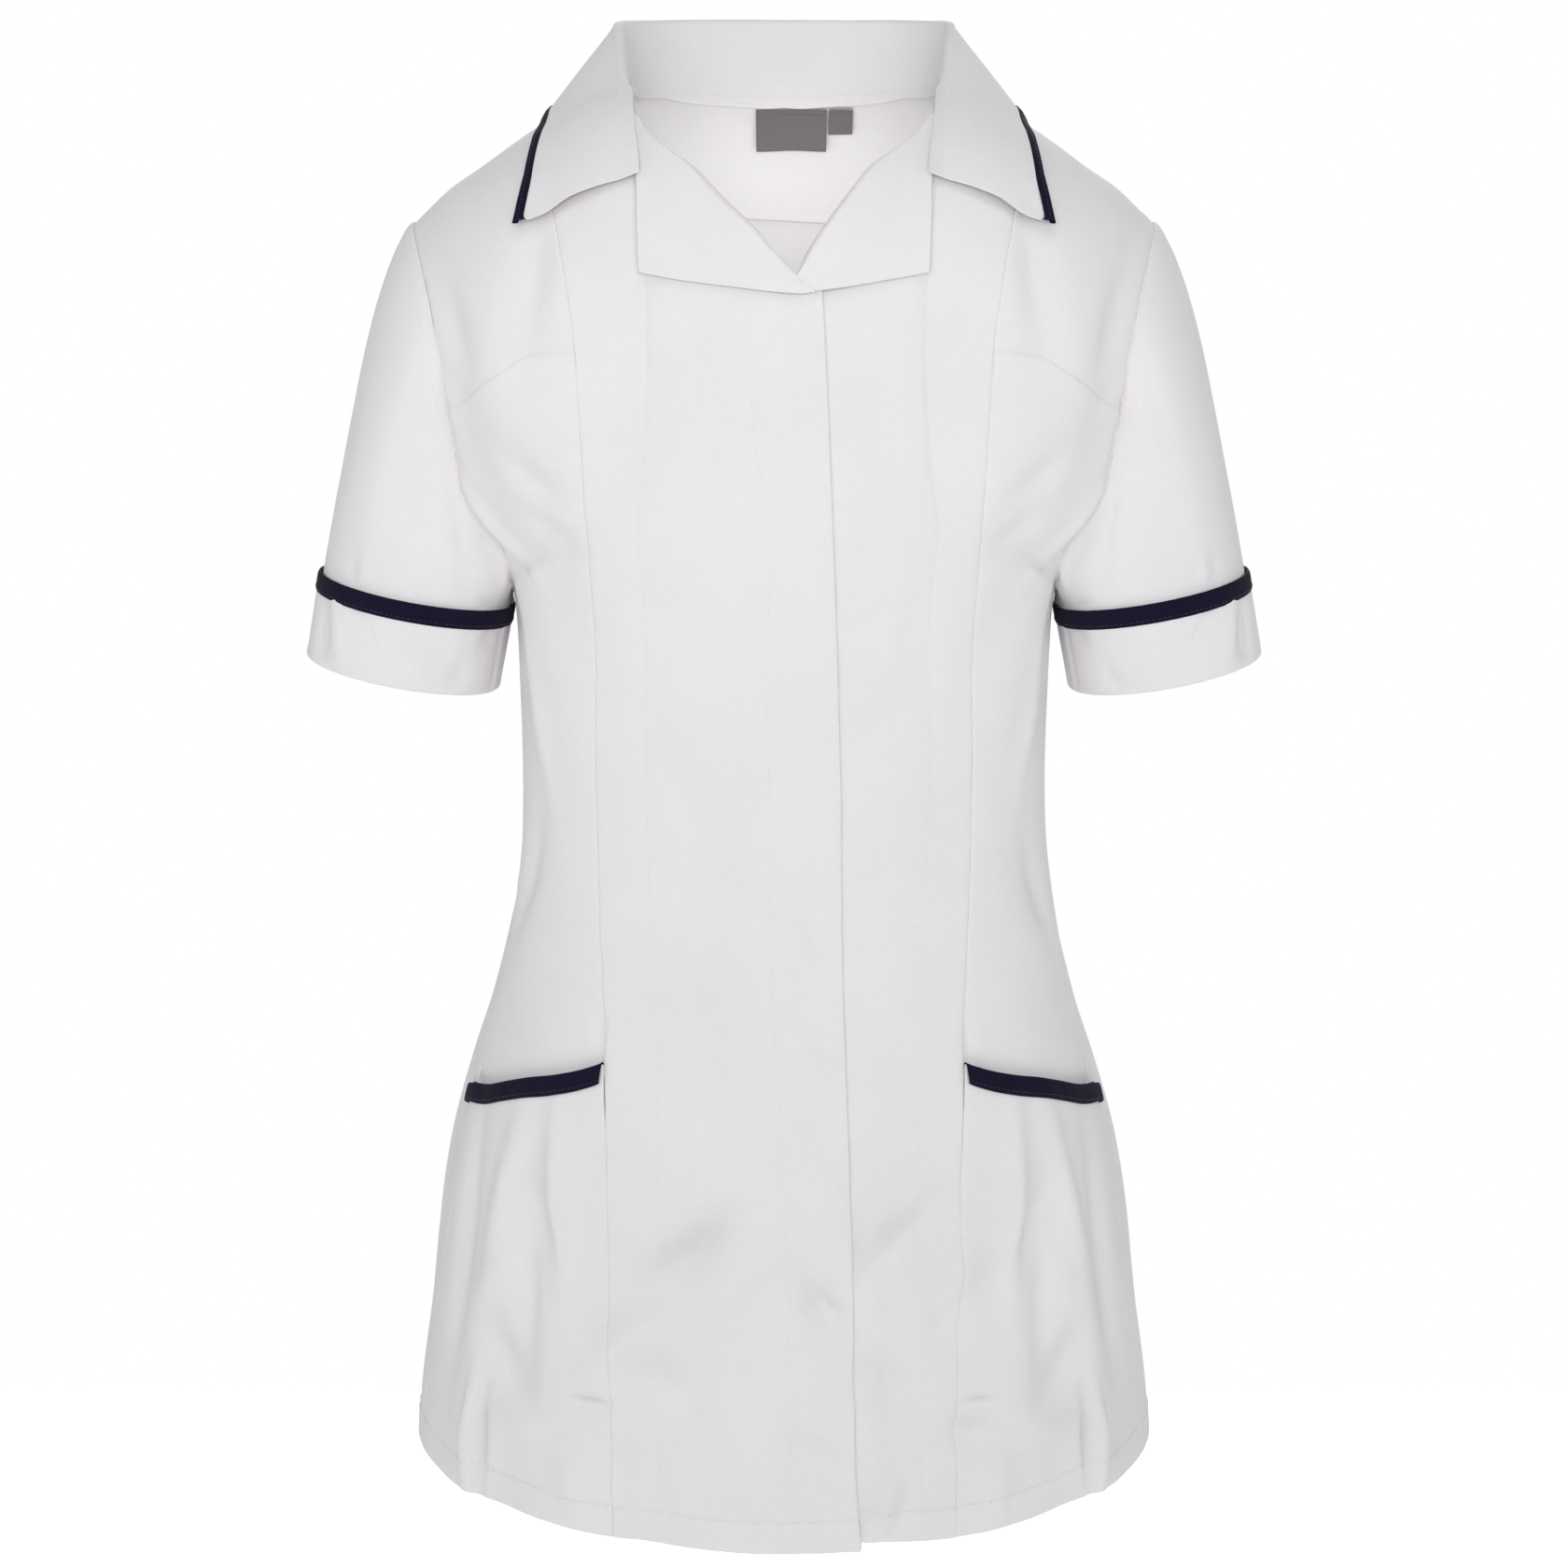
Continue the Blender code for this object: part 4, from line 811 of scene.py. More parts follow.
def stitches(name, line, normals, thread, slot):
    """Short thread stitches along a line of points, joined in one mesh."""
    length, gap, radius, lift = thread
    keys = lengths_along(line)
    count = int(keys[-1] / (length + gap))
    starts = (np.arange(count) + 0.5) * keys[-1] / count

    def on_line(at, values):
        return np.stack([np.interp(at, keys, values[:, k]) for k in range(3)], axis=-1)

    ahead = unit(on_line(starts + 0.6, line) - on_line(starts - 0.6, line))
    normal = unit(on_line(starts, normals))
    aside = unit(np.cross(ahead, normal))
    turns = 2 * math.pi * np.arange(STITCH_SIDES) / STITCH_SIDES
    rings = []
    for along, wide, high in STITCH_RINGS:
        centre = on_line(starts + along * length, line) + normal * (lift + high * radius)
        circle = [centre + (aside * math.cos(t) + normal * math.sin(t)) * radius * wide for t in turns]
        rings.append(np.stack(circle, axis=1))
    points = np.stack(rings, axis=1)
    numbers = np.arange(points.shape[0] * len(STITCH_RINGS) * STITCH_SIDES).reshape(points.shape[:3])
    round_numbers = np.concatenate([numbers, numbers[:, :, :1]], axis=2)
    a, b = round_numbers[:, :-1, :-1], round_numbers[:, 1:, :-1]
    c, d = round_numbers[:, 1:, 1:], round_numbers[:, :-1, 1:]
    faces = [quads(a, b, c, d)]
    # Each end is closed with two faces
    first, last = numbers[:, 0], numbers[:, -1]
    for k in (1, 3):
        after = (k + 2) % STITCH_SIDES
        faces.append(quads(first[:, 0], first[:, k], first[:, k + 1], first[:, after]))
        faces.append(quads(last[:, 0], last[:, after], last[:, k + 1], last[:, k]))
    made = new_mesh(name, points.reshape(-1, 3), np.concatenate(faces))
    made.data.materials.append(THREADS[slot])
    return made


def noise(tree, place, scale, detail):
    """A noise texture that follows the object's own places."""
    made = tree.nodes.new("ShaderNodeTexNoise")
    made.inputs["Scale"].default_value = scale
    made.inputs["Detail"].default_value = detail
    tree.links.new(place.outputs["Object"], made.inputs["Vector"])
    return made


def bump(tree, height, strength, distance):
    """A bump node from a texture's value."""
    made = tree.nodes.new("ShaderNodeBump")
    made.inputs["Strength"].default_value = strength
    made.inputs["Distance"].default_value = distance * MM
    tree.links.new(height.outputs["Fac"], made.inputs["Height"])
    return made


def cloth_material(name, light, dark, roughness, sheen, weave_pitch, weave_depth, gloss=0.25):
    """Woven cloth: two close colours in soft patches, a fine twill and slubs as bump, and a soft sheen."""
    made = bpy.data.materials.new(name)
    made.use_nodes = True
    tree = made.node_tree
    link = tree.links.new
    shader = tree.nodes["Principled BSDF"]
    shader.inputs["Roughness"].default_value = roughness
    shader.inputs["Sheen Weight"].default_value = sheen
    shader.inputs["Sheen Roughness"].default_value = 0.5
    shader.inputs["Specular IOR Level"].default_value = gloss
    place = tree.nodes.new("ShaderNodeTexCoord")
    patches = noise(tree, place, 17.0, 3.0)
    slubs = noise(tree, place, 420.0, 2.0)
    both = tree.nodes.new("ShaderNodeMix")
    both.data_type = "FLOAT"
    both.inputs["Factor"].default_value = 0.35
    link(patches.outputs["Fac"], both.inputs["A"])
    link(slubs.outputs["Fac"], both.inputs["B"])
    ramp = tree.nodes.new("ShaderNodeValToRGB")
    ramp.color_ramp.elements[0].position = 0.3
    ramp.color_ramp.elements[0].color = dark + (1,)
    ramp.color_ramp.elements[1].position = 0.7
    ramp.color_ramp.elements[1].color = light + (1,)
    link(both.outputs["Result"], ramp.inputs["Fac"])
    link(ramp.outputs["Color"], shader.inputs["Base Color"])
    cloth = tree.nodes.new("ShaderNodeAttribute")
    cloth.attribute_name = "cloth"
    twill = tree.nodes.new("ShaderNodeTexWave")
    twill.wave_type = "BANDS"
    twill.bands_direction = "DIAGONAL"
    # At scale 1 the bands repeat every 2 pi / 10; the root of 2 is there because they run diagonally
    twill.inputs["Scale"].default_value = 2 * math.pi / 10.0 / (weave_pitch * math.sqrt(2) * MM)
    twill.inputs["Distortion"].default_value = 0.6
    twill.inputs["Detail"].default_value = 1.0
    link(cloth.outputs["Vector"], twill.inputs["Vector"])
    weave = bump(tree, twill, 0.5, weave_depth)
    slack = bump(tree, slubs, 0.35, 0.25)
    link(weave.outputs["Normal"], slack.inputs["Normal"])
    link(slack.outputs["Normal"], shader.inputs["Normal"])
    return made


# Materials by record slot
CLOTHS = {
    "white_twill": cloth_material("white_twill_cloth", light=(0.83, 0.815, 0.825), dark=(0.79, 0.77, 0.785),
                                  roughness=0.85, sheen=0.12, weave_pitch=0.55, weave_depth=0.045),
    "navy_trim": cloth_material("navy_trim_cloth", light=(0.0115, 0.0068, 0.0275),
                                dark=(0.0072, 0.0042, 0.0175), roughness=0.85, sheen=0.03, weave_pitch=0.6,
                                weave_depth=0.12, gloss=0.1),
    "label_satin": cloth_material("label_satin_cloth", light=(0.17, 0.157, 0.165), dark=(0.15, 0.138, 0.146),
                                  roughness=0.55, sheen=0.1, weave_pitch=0.4, weave_depth=0.06),
}
THREADS = {
    "white_twill": cloth_material("white_thread", light=(0.86, 0.85, 0.86), dark=(0.78, 0.77, 0.78),
                                  roughness=0.6, sheen=0.2, weave_pitch=0.3, weave_depth=0.03),
    "navy_trim": cloth_material("navy_thread", light=(0.02, 0.016, 0.045), dark=(0.01, 0.008, 0.025),
                                roughness=0.55, sheen=0.2, weave_pitch=0.3, weave_depth=0.03),
    "label_satin": CLOTHS["label_satin"],
}


def piece(name, points, normals, held, threads=(), slot="white_twill", nodes=(), thickness=CLOTH,
          closed=False):
    """A piece of cloth with the material of its slot, its nodes and stitches, all riding on the one body.

    Each of the threads holds the name, points, normals and thread of one line of stitches.
    """
    obj = shell(name + "_cloth", points, normals, thickness, closed)
    extras = [stitches(*row, slot) for row in threads]
    obj.data.materials.append(CLOTHS[slot])
    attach(obj, "root")
    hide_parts(*(nodes or (name,)))
    for extra in extras:
        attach(extra, "root")


def tube(name, side, points, normals, held, **options):
    """A piece that runs round the arm, from points of the wearer's left."""
    piece(name, mirrored(points, side), mirrored(normals, side), held, closed=True, **options)


def panel(flat, side, shape):
    """Fine points and normals of a body panel on one side.

    The function shape gives its relief from the distances to its edges and its points on the smooth body.
    """
    angle, z = flat[..., 0] * side, flat[..., 1]
    bare = smooth_body(angle, z)
    return body(angle, z, wobble(bare) + shape(edge_distances(bare), bare))


def hem_thickness(points):
    """Thickness of a panel's cloth, folded double at its hem."""
    return CLOTH + HEM_EXTRA * ease(HEM_STITCH + 1, HEM_STITCH - 2, edge_distances(points).bottom)


def hem_row(name, points, normals):
    """The line of stitches along a panel's hem."""
    row = len(points) - HEM_STEPS.index(HEM_STITCH) - 1
    return name + "_hem_stitches", points[row], normals[row], HEM_THREAD


def outer_seam(distance, gap, bare, phase):
    """Relief beside a panel's outer edge: the armhole seam above, the side seam below."""
    armhole = ease(UNDERARM_Z - 6, UNDERARM_Z + 6, bare[..., 2])
    above = seam(distance, gap.down, pucker=0.26, raised=0.3, phase=phase, deep=0.5)
    return armhole * above + (1 - armhole) * seam(distance, gap.down, pucker=0.2, phase=2.5)


def overlap_lift(x_from_centre):
    """How far the upper layer stands off where the fronts overlap; x grows towards its own side."""
    return OVERLAP_LIFT * (1 - ease(14.0, 46.0, x_from_centre))


def hem_height(angle, rise=0.0):
    """Height of the hem at an angle, a little higher at the sides and the back."""
    side = np.where(np.abs(wrapped(angle)) > 90.0, 1.0, np.sin(np.radians(angle)) ** 2)
    return HEM_Z + HEM_SIDE_RISE * side + rise


def hem_line(first, last, rise=0.0):
    """(angle, z) points along the hem, which may rise towards the last one."""
    angle = np.linspace(first, last, 300)
    return pairs(angle, hem_height(angle, rise * (1 - ease(last, first, angle))))


def princess_angle(z):
    """Angle of the princess seam at a height."""
    return float(angle_at(spline(PRINCESS, z), z))


def front_edges(roll, edge_top, underlap, hem_rise):
    """The four edges of a centre front on its own side. The upper front has no underlap."""
    neck = dense(roll)
    shoulder = ridge_line(PRINCESS[-1][1], NECK_X)
    drop = np.array([neck[-1], (float(angle_at(*edge_top)), edge_top[1])])
    top = joined((shoulder, neck, drop), TOP_SPANS)

    def edge_angle(z):
        x = spline(FRONT_EDGE, z)
        return angle_at(x - underlap if underlap else -x, z)

    hem_angle = princess_angle(HEM_Z)
    bottom = hem_line(hem_angle, float(edge_angle(HEM_Z)), hem_rise)
    left_z = np.linspace(float(ridge(PRINCESS[-1][1])), float(hem_height(hem_angle)), 400)
    right_z = np.linspace(edge_top[1], bottom[-1, 1], 400)
    left = pairs(angle_at(spline(PRINCESS, left_z), left_z), left_z)
    right = pairs(edge_angle(right_z), right_z)
    return top, by_length(bottom), by_height(left), by_height(right)


def make_front(side, word, roll, edge_top, underlap=0.0, hem_rise=0.0):
    """A centre front with its hem and front edge; the upper one has the stitches of the hidden closing."""
    name = "front_" + word
    upper = not underlap
    edges = front_edges(roll, edge_top, underlap, hem_rise)
    flat = fine_grid(edges, FINE_STEP, FREE_STEPS, HEM_STEPS, SEAM_STEPS, FREE_STEPS)

    def shape(gap, bare):
        off = seam(gap.left, gap.down, pucker=0.16, raised=0.22, phase=0.4 if upper else 2.0)
        off = off + hem(gap.bottom, gap.across, 1.0)
        shoulder = ease(NECK_X - 4, NECK_X + 4, np.abs(bare[..., 0]))
        off = off + shoulder * seam(gap.top, gap.across, pucker=0.1)
        if not upper:
            return off
        off = off - 0.18 * np.exp(-(gap.right - PLACKET) ** 2)
        off = off + 0.16 * wave(gap.down, 46.0, 0.7) * ease(PLACKET + 6, PLACKET - 14, gap.right)
        off = off + 0.2 * ease(3.0, 0.0, gap.right) * wave(gap.down, 31.0, 1.9)
        return off + overlap_lift(side * bare[..., 0])

    points, normals = panel(flat, side, shape)
    thickness = hem_thickness(points)
    threads = [hem_row(name, points, normals)]
    if upper:
        right = edge_distances(points).right
        thickness = thickness + FRONT_EDGE_EXTRA * ease(4.0, 1.0, right)
        column = int(np.argmin(np.abs(right.mean(axis=0) - PLACKET)))
        keep = (points[:, column, 2] < PLACKET_TOP_Z) & (points[:, column, 2] > HEM_Z + HEM_STITCH)
        threads.append(("placket_stitches", points[keep, column], normals[keep, column], FINE_THREAD))
    piece(name, points, normals, "hung", threads, thickness=thickness)


def bust_edge():
    """The bust seam, from the armhole to the princess seam."""
    armhole = armhole_line(ARMHOLE_FRONT, False, float(ridge(SHOULDER_X)), BUST_END_Z)[-1:]
    line = dense(tuple(reversed(BUST_SEAM)))[16:-1]
    z = BUST_SEAM[0][1]
    return np.concatenate([armhole, line, [(princess_angle(z), z)]])


def make_side_front(side, word):
    """Side front above and below the bust seam."""
    shoulder_z = float(ridge(SHOULDER_X))
    bust = by_length(bust_edge())
    top = by_length(ridge_line(SHOULDER_X, PRINCESS[-1][1]))
    hole = by_height(armhole_line(ARMHOLE_FRONT, False, shoulder_z, BUST_END_Z))
    panel_top = float(ridge(PRINCESS[-1][1]))
    edges = (top, bust, hole, by_height(princess_line(panel_top, BUST_SEAM[0][1])))
    flat = fine_grid(edges, FINE_STEP, SEAM_STEPS, SEAM_STEPS, SEAM_STEPS, SEAM_STEPS)

    def upper_shape(gap, bare):
        off = seam(gap.left, gap.down, pucker=0.24, phase=1.1, deep=0.5)
        off = off + seam(gap.right, gap.down, pucker=0.16, phase=0.4)
        off = off + seam(gap.top, gap.across, pucker=0.1)
        return off + seam(gap.bottom, gap.across, pucker=0.1, phase=0.6, deep=0.15)

    piece("side_front_upper_" + word, *panel(flat, side, upper_shape), "hung")

    lower_hole = armhole_line(ARMHOLE_FRONT, False, BUST_END_Z, UNDERARM_Z)
    outer = np.concatenate([lower_hole, side_line(UNDERARM_Z, BAG_BOTTOM_Z)[1:]])
    inner = princess_line(BUST_SEAM[0][1], BAG_BOTTOM_Z)
    bottom = outer[-1] + (inner[-1] - outer[-1]) * np.linspace(0, 1, 60)[:, None]
    edges = (bust, by_length(bottom), by_height(outer), by_height(inner))
    flat = fine_grid(edges, FINE_STEP, SEAM_STEPS, FREE_STEPS, SEAM_STEPS, SEAM_STEPS)

    def lower_shape(gap, bare):
        off = seam(gap.right, gap.down, pucker=0.16, phase=0.4)
        off = off + seam(gap.top, gap.across, pucker=0.2, raised=0.6, phase=0.6, deep=0.2)
        # Behind the pocket the cloth lies farther in
        mouth = spline(POCKET_TOP, np.abs(bare[..., 0]))
        tuck = BAG_TUCK * ease(-14.0, 8.0, mouth - bare[..., 2])
        return off + outer_seam(gap.left, gap, bare, 1.1) - tuck

    piece("side_front_" + word, *panel(flat, side, lower_shape), "hung")


def pocket_mouth():
    """(angle, z) points of the pocket's mouth, from the side seam to the princess seam."""
    side_z = float(spline(POCKET_TOP, POCKET_SIDE_X))
    side_angle = float(spline(SIDE_SEAM, side_z))
    line = dense(tuple(reversed(POCKET_TOP)))
    line = line[line[:, 0] < side_angle - 1][:-1]
    z = POCKET_TOP[0][1]
    return np.concatenate([[(side_angle, side_z)], line, [(princess_angle(z), z)]])


def pocket_proud(bare):
    """How far the pocket's mouth stands off at points of the body."""
    mouth = spline(POCKET_TOP, np.minimum(np.abs(bare[..., 0]), POCKET_PROUD_X))
    return POCKET_PROUD * (1 - ease(0.0, POCKET_PROUD_HEIGHT, mouth - bare[..., 2]))


def make_pocket(side, word):
    """Pocket front from its bound mouth down to the hem."""
    mouth = pocket_mouth()
    bottom = hem_line(float(spline(SIDE_SEAM, HEM_Z)), princess_angle(HEM_Z))
    left = side_line(mouth[0, 1], bottom[0, 1])
    right = princess_line(POCKET_TOP[0][1], bottom[-1, 1])
    edges = (by_length(mouth), by_length(bottom), by_height(left), by_height(right))
    flat = fine_grid(edges, FINE_STEP, FREE_STEPS, HEM_STEPS, SEAM_STEPS, SEAM_STEPS)

    def shape(gap, bare):
        off = seam(gap.left, gap.down, pucker=0.2, phase=2.5)
        off = off + seam(gap.right, gap.down, pucker=0.18, phase=0.4)
        return off + hem(gap.bottom, gap.across, 2.2 + side) + pocket_proud(bare)

    name = "pocket_" + word
    points, normals = panel(flat, side, shape)
    threads = [hem_row(name, points, normals)]
    piece(name, points, normals, "hung", threads, thickness=hem_thickness(points))


def make_pocket_trim(side, word):
    """Binding on the pocket's mouth, which runs a little way round the side seam."""
    mouth = pocket_mouth()
    line = np.concatenate([[mouth[0] + (POCKET_TRIM_WRAP, -1.5)], mouth])
    path = read(by_length(line), np.linspace(0, 1, 60))
    below, offs = np.array(POCKET_TRIM_PROFILE).T[..., None]
    angle, z = np.broadcast_arrays(path[:, 0] * side, path[:, 1] - below)
    bare = smooth_body(angle, z)
    points, normals = body(angle, z, pocket_proud(bare) + offs + 0.08 * wave(lengths_along(bare), 7.0))
    normals = oriented(grid_normals(points), normals)
    name = "pocket_trim_" + word
    row = TRIM_STITCH_ROW
    thread = (name + "_stitches", points[row], normals[row], TRIM_THREAD)
    piece(name, points, normals, "stretched", [thread], "navy_trim", thickness=TRIM_CLOTH)


def neck_loop(half):
    """A line from the left shoulder to the centre back, and on to the right shoulder."""
    other = np.stack([360.0 - half[-2::-1, 0], half[-2::-1, 1]], axis=1)
    return np.concatenate([half, other])


def make_back():
    """Back panel between the side seams, with its hem."""
    neck = dense(tuple(reversed(NECK_BACK)), behind=True)
    half = np.concatenate([ridge_line(SHOULDER_X, NECK_X, True), neck[1:-1], [(180.0, 0.0)]])
    hem_angle = float(spline(SIDE_SEAM, HEM_Z))
    bottom = hem_line(hem_angle, 360.0 - hem_angle)
    hole = armhole_line(ARMHOLE_BACK, True, float(ridge(SHOULDER_X)), UNDERARM_Z)
    left = np.concatenate([hole, side_line(UNDERARM_Z, bottom[0, 1])[1:]])
    right = np.stack([360.0 - left[:, 0], left[:, 1]], axis=1)
    edges = (by_length(neck_loop(half)), by_length(bottom), by_height(left), by_height(right))
    flat = fine_grid(edges, BACK_STEP, SEAM_STEPS[:-1], HEM_STEPS, SEAM_STEPS, SEAM_STEPS)

    def shape(gap, bare):
        off = hem(gap.bottom, gap.across, 0.3) + seam(gap.top, gap.across, pucker=0.1)
        return off + outer_seam(gap.left, gap, bare, 0.2) + outer_seam(gap.right, gap, bare, 1.4)

    points, normals = panel(flat, 1, shape)
    threads = [hem_row("back", points, normals)]
    piece("back", points, normals, "hung", threads, thickness=hem_thickness(points))


def make_facing():
    """The facing inside the back neck. Its visible face looks forwards, into the neck."""
    half = np.concatenate([dense(tuple(reversed(NECK_BACK)), behind=True)[2:], [(180.0, 0.0)]])
    start = read(by_length(neck_loop(half)), np.linspace(0, 1, 64))
    down = np.concatenate([np.linspace(0, 0.97, 24), [0.985, 1.0]])[:, None]
    x = smooth_body(start[:, 0], start[:, 1])[:, 0]
    low = FACING_BOTTOM_Z - 1.4 - 0.055 * x[None]
    z = start[None, :, 1] + (low - start[None, :, 1]) * down
    rear = angle_at(np.abs(x)[None], z, True)
    angle = np.where(start[None, :, 0] > 180, 360.0 - rear, rear)
    edge = 0.3 * ease(0.93, 0.99, down)
    points, normals = body(angle, z, -CLOTH - FACING_INSIDE + 0.1 * np.sin(angle / 3.0) - edge)
    piece("back_neck_facing", points - normals * CLOTH, -normals, "stretched")


def make_labels():
    """Bare labels that hang inside the back neck, sewn on along their tops."""
    share = np.concatenate([[0, 0.02], np.linspace(0.06, 0.94, 22), [0.98, 1]])
    for name, low, high, bottom in LABELS:
        x, z = np.meshgrid(low + (high - low) * share, LABEL_TOP_Z + (bottom - LABEL_TOP_Z) * share)
        rear = angle_at(x, z, True)
        angle = np.where(x > 0, rear, 360.0 + rear)
        angle = np.where(np.abs(x) < 0.01, 180.0, angle)
        below = LABEL_TOP_Z - z
        curl = 0.5 * np.sin(x / 6.0 + 0.7) * below / 20.0
        points, normals = body(angle, z, -LABEL_INSIDE - below * LABEL_HANG + curl)
        row = EDGE_STITCH_ROW
        thread = (name + "_stitches", points[row], -normals[row], FINE_THREAD)
        piece(name, points, -normals, "hung", [thread], "label_satin", thickness=LABEL_CLOTH)


def through(points, places):
    """Smooth curves through rows of control points, read at places counted in control points."""
    count = points.shape[-2]
    places = np.clip(places, 0, count - 1)
    left = np.minimum(places.astype(int), count - 2)
    f = (places - left)[:, None]
    p0 = points[..., np.maximum(left - 1, 0), :]
    p1 = points[..., left, :]
    p2 = points[..., left + 1, :]
    p3 = points[..., np.minimum(left + 2, count - 1), :]
    curve = 2 * p1 + (p2 - p0) * f + (2 * p0 - 5 * p1 + 4 * p2 - p3) * f ** 2
    return 0.5 * (curve + (3 * p1 - p0 - 3 * p2 + p3) * f ** 3)


def revers_roll(inner, down, crossing, lift_under):
    """Control points, in columns, that turn the inner edge of a revers over the roll line."""
    here, normal = body(inner[:, 0], inner[:, 1])
    ahead = np.gradient(smooth_body(inner[:, 0], inner[:, 1]), axis=0)
    toward_neck = unit(np.cross(ahead, normal))
    x = here[:, 0]
    # The turned edge gets narrower towards its lower end, towards the centre and towards the neck
    flap = 1 - 0.75 * ease(0.78, 1.0, down)
    narrow = 1 - 0.8 * ease(14.0, 5.0, x) - 0.65 * ease(38.0, 60.0, x)
    # Past the centre the upper one lies flat
    flat_end = lift_under * ease(-4.0, -8.0, x)
    edge_off = REVERS_OUT + overlap_lift(x) + crossing
    columns = []
    for number, (past, above, share) in enumerate(REVERS_ROLL):
        past = past * (flap if past < 0 else narrow)
        above = above + overlap_lift(x) * max(share, lift_under)
        above = above * (1 - flat_end) + (edge_off - 0.9 + 0.3 * number) * flat_end
        past = past * (1 - flat_end) + (0.15 * number - 0.6) * flat_end
        columns.append(here + toward_neck * past[:, None] + normal * above[:, None])
    return np.stack(columns, axis=1)


def make_revers(side, word, roll, roll_end, bottom, lift_under):
    """Turned-out front on one side; lift_under is 1 where its panel is the upper one."""
    line = dense(roll + (roll_end,))
    line = line[line[:, 1] < REVERS_TOP_Z]
    down = np.concatenate([[0, 0.006], np.linspace(0.02, 0.98, 56), [0.994, 1.0]])
    inner = read(by_length(line), down)
    height = np.linspace(inner[0, 1] - 1.5, REVERS_OUTER[0][0], 200)
    outer = pairs(angle_at(spline(REVERS_OUTER, height), height), height)
    low = np.concatenate([[outer[-1]], dense(bottom)[1:], [inner[-1]]])
    first = outer[0] + (inner[0] - outer[0]) * np.linspace(0, 1, 30)[:, None]
    edges = (by_length(first), by_length(low), by_length(outer), (down, inner))
    across = np.concatenate([[0, 0.012, 0.035], np.linspace(0.07, 0.93, 34)])
    u, v = np.meshgrid(across, down)
    flat = patch(edges, u, v)[:, ::-1]
    angle, z = flat[..., 0], flat[..., 1]
    bare = smooth_body(angle, z)
    crossing = lift_under * REVERS_CROSSING * (1 - ease(-4.0, 12.0, bare[..., 0]))
    off = REVERS_OUT + overlap_lift(bare[..., 0]) + wobble(bare) * 0.7
    leaf_points, leaf_normals = body(angle, z, off + crossing)

    roll_points = revers_roll(inner, down, crossing[:, -1], lift_under)
    control = np.concatenate([roll_points, leaf_points[:, :2]], axis=1)
    rolled = through(control, np.linspace(0, len(REVERS_ROLL), 25))
    points = np.concatenate([rolled, leaf_points[:, 1:]], axis=1)
    normals = oriented(grid_normals(points), np.broadcast_to(leaf_normals[:, :1], points.shape))
    soft = points.copy()
    soft[1:-1, 1:-1] = (points[1:-1, 1:-1] * 2 + points[:-2, 1:-1] + points[2:, 1:-1]) / 4
    piece("revers_" + word, mirrored(soft, side), mirrored(normals, side), "folded")


def cuff_point(turn, along, proud=0.0):
    """Points and normals of the left cuff ring; turn is 0 at its outermost line and 90 in front."""
    axis = np.array((math.sin(CUFF_TILT), 0, -math.cos(CUFF_TILT)))
    across = np.array((math.cos(CUFF_TILT), 0, math.sin(CUFF_TILT)))
    forward = np.array((0, -1.0, 0))
    turn, along, proud = np.broadcast_arrays(np.radians(turn), along, proud)
    c, s = np.cos(turn)[..., None], np.sin(turn)[..., None]
    proud, along = proud[..., None], along[..., None]
    wide, deep = CUFF_HALF_WIDTH + proud, CUFF_HALF_DEPTH + proud
    wide = wide * np.where(c > 0, 1.0, 1 - (1 - CUFF_INNER_SHARE) * c * c)
    normal = unit(across * c / wide + forward * s / deep)
    return CUFF_CENTRE + axis * along + across * wide * c + forward * deep * s, normal


def armhole_loop(columns):
    """(angle, z) and turn of the sleeve's columns round the armhole, from the shoulder over the front."""
    top = float(ridge(SHOULDER_X))
    lines = (armhole_line(ARMHOLE_FRONT, False, top, BUST_END_Z),
             armhole_line(ARMHOLE_FRONT, False, BUST_END_Z, UNDERARM_Z),
             armhole_line(ARMHOLE_BACK, True, top, UNDERARM_Z)[::-1])
    share = np.arange(columns) / columns
    return read(joined(lines, ARMHOLE_SPANS), share), 360.0 * share


